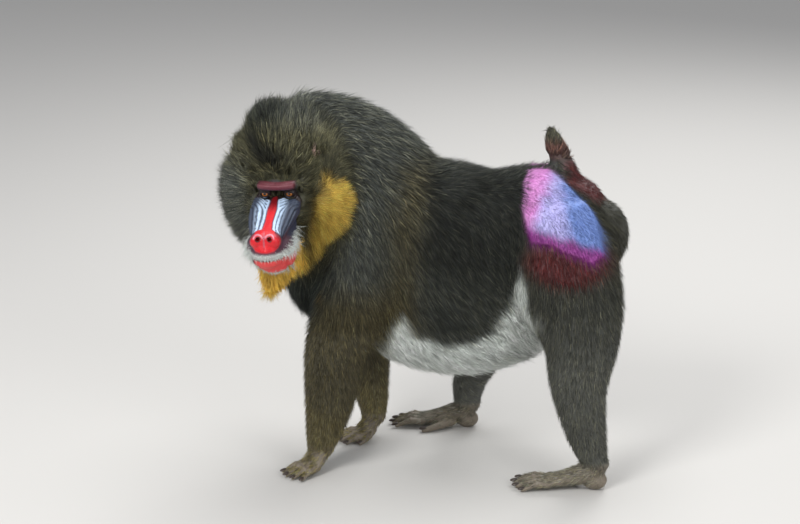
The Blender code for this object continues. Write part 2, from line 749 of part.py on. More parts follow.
def cells():
    """Each node's own cell, in the order in which they are parted off; what is left is the chest."""
    down, up, left, right = (0, 0, -1), (0, 0, 1), (0, 1, 0), (0, -1, 0)
    parted = [
        ("jaw", turned(face_matrix(), [
            ((0.075, 0, -0.05), (-1, 0, -0.35)), ((0.2, 0, MOUTH_LEVEL), (-0.09, 0, 1)),
            ((0, 0.062, 0), left), ((0, -0.062, 0), right), ((0, 0, -0.19), down),
        ])),
        ("muzzle", turned(face_matrix(), [
            ((0.088, 0, 0), (-1, 0, 0.12)), ((0, 0.052, 0), left),
            ((0, -0.052, 0), right), ((0, 0, -0.11), down),
        ])),
        ("head", turned(head_matrix(), [
            ((-0.058, 0, 0), (-1, 0, 0)), ((0, 0.106, 0), (0, 1, -0.2)), ((0, 0, -0.14), down),
        ])),
        ("tail", [((0, 0, 0.603), down), ((0.25, 0, 0), (-1, 0, 0))]),
        ("neck", [((0.03, 0, 0.64), (0.774, 0, -0.633))]),
    ]
    for side, sign in SIDE_OF.items():
        own_side = ((0, sign * 0.02, 0), (0, -sign, 0))
        ankle_level = ((0, 0, PAW_TOP), up)
        parted.append(("hand_" + side, [own_side, ankle_level, (BETWEEN_PAWS, (1, sign, 0))]))
        parted.append(("foot_" + side, [own_side, ankle_level]))
    for part, side, limit, low, high, top in LIMB_CUTS:
        sign = SIDE_OF[side]
        slope = Vector((0, -sign * (high[1] - low[1]), high[0] - low[0]))
        inner = ((0, sign * low[0], low[1]), slope)
        own_side = ((0, sign * 0.02, 0), (0, -sign, 0))
        parted.append((part + "_" + side, [inner, limit, own_side, ((0, 0, top), up)]))
    parted += [
        ("rump", [((0.22, 0, 0), (-1, 0, 0))]),
        ("belly", [((0.035, 0, 0), (-1, 0, 0))]),
    ]
    return parted


def copy_of(thing, name):
    return new_object(name, thing.data.copy())


def carve(whole, name, planes):
    """Parts one named node off the whole, leaving the thin gap between them."""
    piece = boolean(copy_of(whole, name), cell_solid(planes), "INTERSECT")
    boolean(whole, cell_solid(planes, GAP), "DIFFERENCE")
    return keep_largest(piece)


def turned(place, planes):
    """Planes given in the head's or the face's own axes, turned to the body's."""
    return [(place @ Vector(point), place.to_3x3() @ Vector(normal)) for point, normal in planes]


def tint(name, colour, roughness):
    """A plain material of one colour."""
    made = bpy.data.materials.new(name)
    made.use_nodes = True
    shader = made.node_tree.nodes["Principled BSDF"]
    shader.inputs["Base Color"].default_value = (*colour, 1.0)
    shader.inputs["Roughness"].default_value = roughness
    return made


def finish(nodes):
    """Stands the model on the middle of its box, and gives each node its collection, shading and material."""
    model = bpy.data.collections.new("mandrill")
    bpy.context.scene.collection.children.link(model)
    corners = np.array([list(v.co) for node in nodes for v in node.data.vertices])
    low, high = corners.min(axis=0), corners.max(axis=0)
    shift = Matrix.Translation((-(low[0] + high[0]) / 2, -(low[1] + high[1]) / 2, -low[2]))
    for node in nodes:
        node.data.transform(shift)
        bpy.context.scene.collection.objects.unlink(node)
        model.objects.link(node)
        node.data.shade_smooth()
        node.data.set_sharp_from_angle(angle=math.radians(50))
        colour, roughness = COLOURS.get(node.name, COLOURS.get(node.name.split("_")[0], COLOURS["body"]))
        node.data.materials.clear()
        node.data.materials.append(tint(node.name, colour, roughness))


def main():
    """Builds the whole animal, parts it into its named nodes, and stands it on its origin."""
    body = blended("body", body_forms(), BODY_VOXEL, 12, BODY_TRIANGLES)
    for side in SIDE_OF:
        for maker, place, heading in (
            (hand_forms, *HANDS[side]),
            (foot_forms, *FEET[side]),
        ):
            boolean(body, paw(maker, side, place, heading), "UNION")
    head = face()
    boolean(body, head, "UNION")
    mended(union_all(body, locks_on(body)))
    boolean(body, cell_solid([((0, 0, 0), (0, 0, -1))]), "INTERSECT")

    nodes = []
    for side in SIDE_OF:
        ear, pocket = ear_and_pocket(side)
        boolean(body, pocket, "DIFFERENCE")
        nodes += [ear, eye(side)]
    for name, planes in cells():
        nodes.append(carve(body, name, planes))
    body.name = "chest"
    nodes.append(keep_largest(body))
    finish(nodes)


main()
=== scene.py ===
"""The looks of a life-size adult male mandrill: one skin with its folds, tufted coat, eyes, ears and nails.

Places are in metres in the maker's own axes: the body runs along X with the head at -X, the left side faces
-Y, and the floor is z = 0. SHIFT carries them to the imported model's axes, and is read from the left eye.
"""

import math

import bmesh
import bpy
import numpy as np
from mathutils import Euler, Matrix, Vector
from mathutils.bvhtree import BVHTree
from mathutils.kdtree import KDTree


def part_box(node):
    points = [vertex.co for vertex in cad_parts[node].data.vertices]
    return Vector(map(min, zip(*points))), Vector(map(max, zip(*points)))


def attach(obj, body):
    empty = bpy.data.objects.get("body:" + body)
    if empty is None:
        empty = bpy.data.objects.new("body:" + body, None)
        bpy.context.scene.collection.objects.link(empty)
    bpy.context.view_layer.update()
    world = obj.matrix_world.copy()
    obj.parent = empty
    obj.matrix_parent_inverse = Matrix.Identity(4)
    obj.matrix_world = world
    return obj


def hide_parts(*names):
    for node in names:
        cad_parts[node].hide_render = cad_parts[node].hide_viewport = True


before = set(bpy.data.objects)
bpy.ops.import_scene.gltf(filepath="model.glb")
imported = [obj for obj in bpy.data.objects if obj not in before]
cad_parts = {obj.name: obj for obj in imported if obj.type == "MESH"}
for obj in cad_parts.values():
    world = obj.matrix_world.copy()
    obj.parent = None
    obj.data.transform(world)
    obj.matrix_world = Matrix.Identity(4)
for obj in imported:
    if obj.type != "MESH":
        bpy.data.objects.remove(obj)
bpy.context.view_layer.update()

bl_info = {
    "name": "Mandrill Maker",
    "version": (1, 0, 0),
    "blender": (4, 5, 0),
    "location": "View3D > Sidebar > Mandrill",
    "description": "Builds a life-size mandrill with its skin, coat, eyes, ears and nails",
    "category": "Mesh",
}

BODY = "root"
SIDE_OF = {"left": -1.0, "right": 1.0}
TINY = 1e-9

# Where the head sits on the neck, and its turn to the side, down and over in degrees. The face has axes of
# its own, in which forward is along the muzzle, since the thick crest and ruff lean over more than it does
HEAD_PLACE = Vector((-0.197, -0.088, 0.573))
HEAD_TURN = (3.0, 17.0, 9.0)
FACE_PLACE = Vector((-0.1872, -0.088, 0.5657))
FACE_TURN = (0.2, 10.9, 2.4)

# Eyes, lids, nose and mouth in the face's axes, and how far the lower lip's red lies to the left
EYE_RADIUS = 0.0105
EYE_FORWARD = 0.066
EYE_APART = 0.0225
EYE_UP = 0.010
LID_THICK = 0.0022
LID_OPENING = (0.0060, 0.0078, 0.0040)
NOSE_FORWARD = 0.211
NOSTRIL_APART = 0.0105
NOSTRIL_HALVES = (0.010, 0.0042, 0.0036)
NOSTRIL_UP = -0.0130
NOSTRIL_TILT = -20.0
MOUTH_ASIDE = 0.011
SOCKET_GAP = 0.0002

# The eye's rings, in degrees from its gaze, as where each starts and is full: pupil, dark rim, eyeball
PUPIL_EDGE = (14, 11)
IRIS_RIM = (26, 33)
IRIS_EDGE = (33, 36)
IRIS_SPOKES = 23
PUPIL_COLOUR = (0.002, 0.002, 0.002)

# The trunk with its coat, from the shoulders back: place along, top, underside and half the width
TRUNK = (
    (-0.150, 0.560, 0.350, 0.070),
    (-0.110, 0.600, 0.285, 0.102),
    (-0.050, 0.612, 0.245, 0.122),
    (0.000, 0.612, 0.222, 0.127),
    (0.060, 0.602, 0.188, 0.127),
    (0.120, 0.597, 0.174, 0.125),
    (0.180, 0.597, 0.194, 0.118),
    (0.240, 0.600, 0.255, 0.112),
    (0.300, 0.601, 0.320, 0.105),
    (0.345, 0.574, 0.360, 0.096),
    (0.378, 0.535, 0.385, 0.074),
)

# Rounded forms on it, as centre and halves: the chest, the filled back behind the shoulders, and a buttock
CHEST = ((-0.132, -0.008, 0.412), (0.087, 0.098, 0.142))
SADDLE = ((0.125, 0.0, 0.537), (0.090, 0.085, 0.052))
BUTTOCK = ((0.334, 0.052, 0.455), (0.088, 0.066, 0.090))

# Neck, limbs and tail with their coat: centre, half the width and half the depth of each station
NECK = (
    ((0.085, 0.000, 0.448), 0.108, 0.108),
    ((0.030, 0.000, 0.480), 0.117, 0.124),
    ((-0.035, -0.004, 0.520), 0.126, 0.144),
    ((-0.100, -0.016, 0.568), 0.120, 0.146),
    ((-0.150, -0.030, 0.598), 0.104, 0.132),
    ((-0.185, -0.055, 0.606), 0.084, 0.106),
)
ARMS = {
    "left": (
        ((-0.030, -0.060, 0.450), 0.070, 0.085),
        ((-0.055, -0.094, 0.370), 0.064, 0.078),
        ((-0.080, -0.110, 0.290), 0.052, 0.066),
        ((-0.094, -0.112, 0.240), 0.048, 0.061),
        ((-0.104, -0.108, 0.150), 0.041, 0.052),
        ((-0.116, -0.104, 0.088), 0.032, 0.039),
        ((-0.125, -0.101, 0.045), 0.024, 0.028),
    ),
    "right": (
        ((-0.030, 0.060, 0.450), 0.070, 0.085),
        ((-0.052, 0.092, 0.360), 0.062, 0.074),
        ((-0.070, 0.104, 0.275), 0.050, 0.060),
        ((-0.070, 0.104, 0.220), 0.045, 0.054),
        ((-0.062, 0.098, 0.150), 0.038, 0.046),
        ((-0.054, 0.086, 0.090), 0.030, 0.036),
        ((-0.048, 0.080, 0.045), 0.023, 0.026),
    ),
}
LEGS = {
    "left": (
        ((0.306, -0.058, 0.480), 0.070, 0.096),
        ((0.330, -0.085, 0.420), 0.070, 0.106),
        ((0.354, -0.106, 0.350), 0.062, 0.094),
        ((0.366, -0.120, 0.285), 0.052, 0.074),
        ((0.364, -0.125, 0.205), 0.042, 0.057),
        ((0.380, -0.122, 0.115), 0.031, 0.042),
        ((0.398, -0.118, 0.052), 0.023, 0.027),
    ),
    "right": (
        ((0.305, 0.058, 0.470), 0.070, 0.098),
        ((0.275, 0.085, 0.400), 0.068, 0.102),
        ((0.232, 0.110, 0.320), 0.058, 0.080),
        ((0.196, 0.128, 0.250), 0.049, 0.062),
        ((0.163, 0.143, 0.175), 0.039, 0.049),
        ((0.133, 0.155, 0.105), 0.030, 0.038),
        ((0.127, 0.162, 0.052), 0.023, 0.028),
    ),
}
TAIL = (
    ((0.322, 0.000, 0.560), 0.034, 0.036),
    ((0.312, 0.000, 0.600), 0.026, 0.027),
    ((0.300, 0.000, 0.635), 0.018, 0.017),
    ((0.295, 0.000, 0.650), 0.012, 0.011),
)

# The ruff in the head's axes, as how far to the side and its halves
RUFF = {"left": (0.054, (0.052, 0.046, 0.096)), "right": (0.066, (0.052, 0.053, 0.104))}

# The brow bar, one cheek ridge and the beard, in the face's axes
BROW_PATH = (
    (0.064, -0.046, 0.022),
    (0.076, -0.020, 0.029),
    (0.079, 0.0, 0.029),
    (0.076, 0.020, 0.029),
    (0.064, 0.046, 0.022),
)
RIDGE_PATH = (
    (0.080, 0.033, -0.012),
    (0.120, 0.030, -0.012),
    (0.160, 0.025, -0.016),
    (0.182, 0.020, -0.022),
)
BEARD = (
    ((0.120, 0, -0.072), 0.050, 0.040),
    ((0.135, 0.000, -0.100), 0.040, 0.036),
    ((0.150, -0.008, -0.128), 0.025, 0.022),
    ((0.160, -0.018, -0.148), 0.010, 0.010),
)

# Hands and feet: where the wrist or ankle stands, and the digits' heading in degrees
HANDS = {"left": ((-0.125, -0.101), 226.0), "right": ((-0.049, 0.080), 206.0)}
FEET = {"left": ((0.398, -0.118), 184.0), "right": ((0.128, 0.162), 180.0)}

# Digits from the inner side outward: place across the paw, fan in degrees, length and radius
FINGERS = (
    (0.0195, 11.0, 0.041, 0.0082),
    (0.0065, 3.5, 0.047, 0.0086),
    (-0.0065, -3.5, 0.045, 0.0084),
    (-0.0190, -11.0, 0.038, 0.0076),
)
TOES = (
    (0.0205, 9.0, 0.052, 0.0086),
    (0.0068, 3.0, 0.059, 0.0090),
    (-0.0068, -3.0, 0.056, 0.0088),
    (-0.0200, -9.0, 0.046, 0.0080),
)
SOLE_DIP = 0.0015

# Ears in the head's axes, and their turns in degrees about its left and its up axis
EAR_PLACE = {"left": (-0.004, 0.080, 0.046), "right": (-0.012, 0.068, 0.040)}
EAR_HALVES = (0.015, 0.008, 0.021)
EAR_TURN = (-12.0, 32.0)

# The camera: where it looks, from which side and how high, how far off, and its lens on a 36 mm sensor
LOOK_AT = Vector((0.0, 0.102, 0.36))
CAMERA_AZIMUTH = math.radians(8.0)
CAMERA_HEIGHT = math.radians(17.0)
CAMERA_DISTANCE = 3.9
CAMERA_LENS = 90.0
CAMERA_SENSOR = 36.0

# The studio: each light's name, place from the model, size and power
LIGHTS = (
    ("key_light", (-1.5, -3.0, 2.6), 1.6, 105.0),
    ("fill_light", (2.4, -2.4, 1.6), 2.2, 42.0),
    ("top_light", (0.3, 0.6, 3.0), 2.4, 55.0),
    ("rim_light", (1.0, 3.0, 2.2), 1.8, 45.0),
)
LIGHTS_AIM = Vector((0.0, 0.0, 0.35))
FLOOR_SIZE = 30.0
SKY_COLOUR = (0.93, 0.95, 1.0, 1.0)
SKY_STRENGTH = 0.42

# Which way the hair lies on the body's left, as place and direction; the right side mirrors it
BODY_COMB = (
    ((-0.10, -0.04, 0.69), (0.95, -0.15, 0.05)),
    ((-0.02, -0.05, 0.66), (0.80, -0.20, -0.45)),
    ((0.06, -0.03, 0.61), (1.00, -0.05, -0.20)),
    ((0.15, -0.03, 0.60), (1.00, -0.05, -0.10)),
    ((0.24, -0.03, 0.60), (1.00, -0.15, -0.15)),
    ((-0.06, -0.13, 0.60), (0.75, -0.10, -0.65)),
    ((-0.10, -0.13, 0.50), (0.55, 0.00, -0.85)),
    ((0.05, -0.12, 0.50), (0.55, 0.00, -0.80)),
    ((0.15, -0.12, 0.50), (0.55, 0.00, -0.80)),
    ((0.22, -0.11, 0.50), (0.45, 0.00, -0.85)),
    ((0.08, -0.12, 0.36), (0.60, 0.00, -0.75)),
    ((0.19, -0.11, 0.36), (0.72, 0.00, -0.62)),
    ((0.05, -0.08, 0.24), (0.70, 0.00, -0.65)),
    ((0.14, -0.06, 0.19), (0.85, 0.00, -0.45)),
    ((-0.03, -0.12, 0.45), (0.30, 0.00, -0.95)),
    ((-0.07, -0.15, 0.33), (0.10, 0.00, -1.00)),
    ((-0.10, -0.15, 0.20), (0.10, 0.00, -1.00)),
    ((-0.12, -0.13, 0.09), (-0.10, 0.00, -1.00)),
    ((-0.21, -0.03, 0.42), (0.12, 0.00, -1.00)),
    ((-0.16, -0.05, 0.32), (0.45, 0.00, -0.90)),
    ((0.29, -0.13, 0.40), (0.25, 0.00, -0.95)),
    ((0.36, -0.15, 0.38), (0.05, 0.00, -1.00)),
    ((0.37, -0.16, 0.25), (-0.05, 0.00, -1.00)),
    ((0.39, -0.13, 0.12), (0.15, 0.00, -1.00)),
    ((0.30, -0.08, 0.58), (0.50, -0.25, -0.80)),
    ((0.38, -0.08, 0.52), (0.40, -0.10, -0.90)),
    ((0.41, -0.05, 0.43), (0.15, 0.00, -1.00)),
)
COMB_REACH = 0.055

# Which way it lies on the head's left, in the head's own axes
HEAD_COMB = (
    ((0.072, 0.012, 0.040), (-0.25, 0.30, 0.95)),
    ((0.050, 0.012, 0.075), (-0.40, 0.15, 0.90)),
    ((0.010, 0.015, 0.120), (-0.85, 0.15, 0.50)),
    ((0.020, 0.050, 0.070), (-0.45, 0.40, 0.80)),
    ((-0.070, 0.010, 0.130), (-1.00, 0.10, -0.10)),
    ((0.045, 0.060, 0.022), (-0.40, 0.85, 0.35)),
    ((0.040, 0.095, -0.020), (-0.45, 0.88, -0.05)),
    ((0.040, 0.095, -0.075), (-0.40, 0.80, -0.45)),
    ((0.030, 0.070, -0.125), (-0.20, 0.45, -0.88)),
    ((0.070, 0.050, -0.030), (-0.50, 0.80, -0.20)),
    ((0.095, 0.045, -0.065), (-0.40, 0.65, -0.65)),
    ((-0.030, 0.105, -0.030), (-0.85, 0.40, -0.40)),
    ((0.150, 0.010, -0.095), (0.10, 0.05, -1.00)),
    ((0.150, 0.030, -0.080), (-0.05, 0.45, -0.90)),
    ((0.190, 0.020, -0.050), (0.25, 0.75, -0.60)),
    ((0.205, 0.000, -0.060), (0.45, 0.00, -0.90)),
    ((0.110, 0.010, -0.120), (0.20, 0.05, -1.00)),
)
HEAD_COMB_REACH = 0.026

# The pale belly, the golden patch of the neck and the rump's bare patch, as outlines seen from the side
BELLY_EDGE = (
    (-0.060, 0.200), (-0.014, 0.262), (0.009, 0.304), (0.031, 0.336), (0.057, 0.290), (0.096, 0.271),
    (0.144, 0.275), (0.193, 0.304), (0.226, 0.365), (0.250, 0.424), (0.266, 0.380), (0.290, 0.335),
    (0.300, 0.250),
)
GOLD_EDGE = (
    (-0.116, 0.566), (-0.092, 0.572), (-0.074, 0.542), (-0.079, 0.508), (-0.104, 0.482), (-0.124, 0.444),
    (-0.146, 0.428), (-0.146, 0.484), (-0.128, 0.540),
)
RUMP_EDGE = (
    (0.249, 0.598), (0.298, 0.600), (0.334, 0.580), (0.371, 0.555), (0.392, 0.512), (0.403, 0.456),
    (0.383, 0.442), (0.350, 0.461), (0.308, 0.472), (0.266, 0.475), (0.250, 0.531),
)

# The bridge of the nose, as half its width at places along the muzzle, and how far it leans to the side
BRIDGE_ALONG = (0.066, 0.085, 0.111, 0.154, 0.176, 0.190)
BRIDGE_HALF = (0.0030, 0.0060, 0.0080, 0.0068, 0.0085, 0.0180)
BRIDGE_LEAN = 0.035

# The cheek ridges end at this angle in degrees, taken round a line this far below the face's own axis
RIDGE_EDGE = 44.0
RIDGE_AXIS_DOWN = 0.052

# Coat depth, and its tufts' length, width and share of the density, where no region says otherwise
PLAIN_COAT = (0.0085, 0.027, 0.0010, 1.0)
FACE_TUFT_LENGTH = 0.008
FACE_TUFT_WIDTH = 0.0009

# Seeds of the coat's draws, its numbers of tufts, and how a tuft bends, sinks in and lies
COAT_SEED = 7
HEAD_COAT_SEED = 100
BODY_COAT_SEED = 200
WHISKER_COUNT = 2400
TUFTS_PER_GUIDE = 7
LEAST_BEND = 0.2
ROOT_SINK = 0.0025
FLOOR_GAP = 0.0008
TAIL_LIE = (-0.15, 0.0, 1.0)
PAW_LIE_DROP = -0.3
PAW_REACH = 0.17

# For each number of sections in a tuft, their shares of its width and their places along it
TUFT_SHAPE = {1: ((1.0,), (0.0,)), 2: ((1.0, 0.82), (0.0, 0.5)), 3: ((0.9, 1.0, 0.62), (0.0, 0.34, 0.68))}

# The unwrap: its margin, its upper half's start, a sheet's side, a tuft's patch, and the limbs' height
UV_LOW = 0.02
UV_HIGH = 0.52
UV_SHEET = 0.46
UV_PATCH = 0.003
LIMB_TOP = 0.46

# How dark the skin is painted under the hair, as shade, and how rough the nose pad and the wet clear coat
# are
SHADE_UNDER_HAIR = 0.55
PAD_ROUGHNESS = 0.24
CLEAR_COAT_ROUGHNESS = 0.12


def linear(red, green, blue):
    """A colour given in display values from 0 to 255, as the linear values that materials take."""
    return tuple(
        ((c / 255 + 0.055) / 1.055) ** 2.4 if c > 10 else c / 255 / 12.92 for c in (red, green, blue)
    )


def colour_of(name, note, red, green, blue):
    """A colour property whose default is given in display values."""
    shade = linear(red, green, blue)
    return bpy.props.FloatVectorProperty(
        name=name, description=note, subtype="COLOR", size=3, min=0.0, max=1.0, default=shade
    )


def length_of(name, note, default):
    """A length property, in metres."""
    return bpy.props.FloatProperty(name=name, description=note, default=default, unit="LENGTH")


def factor_of(name, note, default, least, most, subtype="NONE"):
    """A number property between two limits."""
    return bpy.props.FloatProperty(
        name=name, description=note, default=default, min=least, max=most, subtype=subtype
    )


class MandrillSizes(bpy.types.PropertyGroup):
    """How finely the skin is made, and how dense and wide the coat's tufts are."""

    body_grain: length_of("Body grain", "Spacing of the body skin's mesh", 0.0040)
    head_grain: length_of("Head grain", "Spacing of the head skin's mesh", 0.0017)
    paw_grain: length_of("Paw grain", "Spacing of the hands' and feet's mesh", 0.0017)
    tuft_share: factor_of("Tuft share", "Share of the full number of tufts", 1.0, 0.05, 1.0, "FACTOR")
    tuft_width: factor_of("Tuft width", "Factor on the width of every tuft", 1.0, 0.3, 3.0)
    clumping: factor_of("Clumping", "How far tufts draw together at their tips", 0.20, 0.0, 1.0, "FACTOR")


class MandrillColours(bpy.types.PropertyGroup):
    """The colours of the coat and of the bare skin."""

    # Charcoal at 0.30 is also the near-black painted shade above the brow and behind the ruff
    charcoal: colour_of("Charcoal", "Flanks", 62, 65, 62)
    # Smoke is also laid as painted light on the far cheek and as a painted highlight on the crest
    smoke: colour_of("Smoke", "Back, mane and shoulders", 100, 104, 99)
    soot: colour_of("Soot", "Top of the crest", 40, 45, 42)
    moss: colour_of("Moss", "Cheeks and front of the crest", 90, 89, 70)
    olive: colour_of("Olive", "Behind the shoulders, and the arms", 104, 98, 74)
    grey_brown: colour_of("Grey brown", "Thighs", 82, 82, 72)
    ash: colour_of("Ash", "Shanks", 119, 120, 111)
    slate: colour_of("Slate", "Chest", 60, 66, 64)
    gold: colour_of("Gold", "Side of the neck", 224, 186, 90)
    beard: colour_of("Beard", "Beard", 246, 202, 92)
    white: colour_of("White", "Whiskers and belly", 238, 244, 238)
    brow: colour_of("Brow", "Bar over the eyes", 108, 50, 60)
    # Eye skin is also the painted shade in the nostrils and along the slit of the mouth
    eye_skin: colour_of("Eye skin", "Skin round the eyes", 30, 16, 17)
    nose: colour_of("Nose", "Nose pad and bridge of the nose", 210, 20, 34)
    # Pale ridge is also the painted highlights round the nostrils and down the middle of the nose pad
    ridge_pale: colour_of("Pale ridge", "Inner part of the cheek ridges", 196, 218, 244)
    ridge_blue: colour_of("Blue ridge", "Outer part of the cheek ridges", 58, 68, 86)
    furrow: colour_of("Furrow", "Grooves of the ridges", 22, 27, 46)
    jowl: colour_of("Jowl", "Bare cheek beside the mouth", 74, 42, 58)
    lip: colour_of("Lip", "Lower lip", 216, 66, 66)
    rump_pink: colour_of("Rump pink", "Front and top of the rump patch", 220, 146, 212)
    rump_lilac: colour_of("Rump lilac", "Between pink and blue", 178, 174, 226)
    rump_blue: colour_of("Rump blue", "Middle and rear of the rump patch", 112, 138, 200)
    rump_purple: colour_of("Rump purple", "Lower edge of the rump patch", 140, 52, 136)
    maroon: colour_of("Maroon", "Below the rump patch and round the tail", 112, 44, 48)
    paw_skin: colour_of("Paw skin", "Palms, soles and digits", 122, 112, 98)
    paw_hair: colour_of("Paw hair", "Backs of the feet", 172, 168, 148)
    hand_hair: colour_of("Hand hair", "Backs of the hands and the wrists", 160, 148, 100)
    amber: colour_of("Amber", "Iris", 196, 118, 44)
    ear: colour_of("Ear", "Bare ears", 206, 168, 160)
    nail: colour_of("Nail", "Nails", 58, 48, 42)
    floor: colour_of("Floor", "Studio floor", 205, 203, 199)


def axes_at(place, turns):
    """From axes of forward, left and up, turned to the side, down and over at a place, to the body's."""
    yaw, pitch, roll = (math.radians(angle) for angle in turns)
    forward = Vector((math.sin(yaw), -math.cos(yaw), 0.0))
    left = Vector((math.cos(yaw), math.sin(yaw), 0.0))
    up = Vector((0.0, 0.0, 1.0))
    nod = forward * math.cos(pitch) - up * math.sin(pitch)
    rise = up * math.cos(pitch) + forward * math.sin(pitch)
    tilt_left = left * math.cos(roll) + rise * math.sin(roll)
    tilt_up = rise * math.cos(roll) - left * math.sin(roll)
    turn = Matrix((nod, tilt_left, tilt_up)).transposed()
    return Matrix.Translation(place) @ turn.to_4x4()


HEAD = axes_at(HEAD_PLACE, HEAD_TURN)
FACE = axes_at(FACE_PLACE, FACE_TURN)
LEFT_EYE_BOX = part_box("eye_left")
SHIFT = (LEFT_EYE_BOX[0] + LEFT_EYE_BOX[1]) / 2 - FACE @ Vector((EYE_FORWARD, EYE_APART, EYE_UP))


def within(points, axes):
    """Rows of body places as rows of places in the head's or the face's own axes."""
    return (points - np.array(axes.translation)) @ np.array(axes.to_3x3())


def step(values, low, high):
    """0 below low, 1 above high and smooth between, also where low is the higher one."""
    t = np.clip((values - low) / (high - low), 0.0, 1.0)
    return t * t * (3 - 2 * t)


def blob(points, centre, halves, soft=0.3):
    """1 inside an ellipsoid and 0 outside it, with an edge as wide as soft times its halves."""
    distance = np.sqrt((((points - np.array(centre)) / np.array(halves)) ** 2).sum(axis=1))
    return step(distance, 1 + soft, 1 - soft)


def wobble(points, size, seed=0.0):
    """A smooth, seeded wave of about the given size, from -1 to 1, that makes edges irregular."""
    x, y, z = (points / size + seed).T
    first = np.sin(x + 1.7 * np.sin(y * 0.9))
    second = np.sin(y * 1.3 + 1.3 * np.sin(z))
    return (first + second + np.sin(z * 1.1 + x * 0.7)) / 3


def inside(points_2d, outline, soft):
    """1 well inside a closed outline of corners and 0 well outside it."""
    corners = np.array(outline)
    ends = np.roll(corners, -1, axis=0)
    least = np.full(len(points_2d), 1e9)
    crossings = np.zeros(len(points_2d), int)
    for a, b in zip(corners, ends):
        along = b - a
        t = np.clip(((points_2d - a) @ along) / (along @ along), 0, 1)
        least = np.minimum(least, np.linalg.norm(points_2d - a - t[:, None] * along, axis=1))
        spans = (a[1] > points_2d[:, 1]) != (b[1] > points_2d[:, 1])
        if a[1] != b[1]:
            reach = a[0] + (points_2d[:, 1] - a[1]) / (b[1] - a[1]) * along[0]
            crossings += spans & (points_2d[:, 0] < reach)
    signed = np.where(crossings % 2 == 1, least, -least)
    return step(signed, -soft, soft)


def laid(values, mask, new):
    """Rows of values with new ones laid over them where the mask is 1."""
    if values.ndim == 2:
        mask = mask[:, None]
    return values * (1 - mask) + np.array(new) * mask


def laid_in_turn(values, rows):
    """Lays the new values of each row, of a mask and what is new, over those before it."""
    for mask, new in rows:
        values = laid(values, mask, new)
    return values


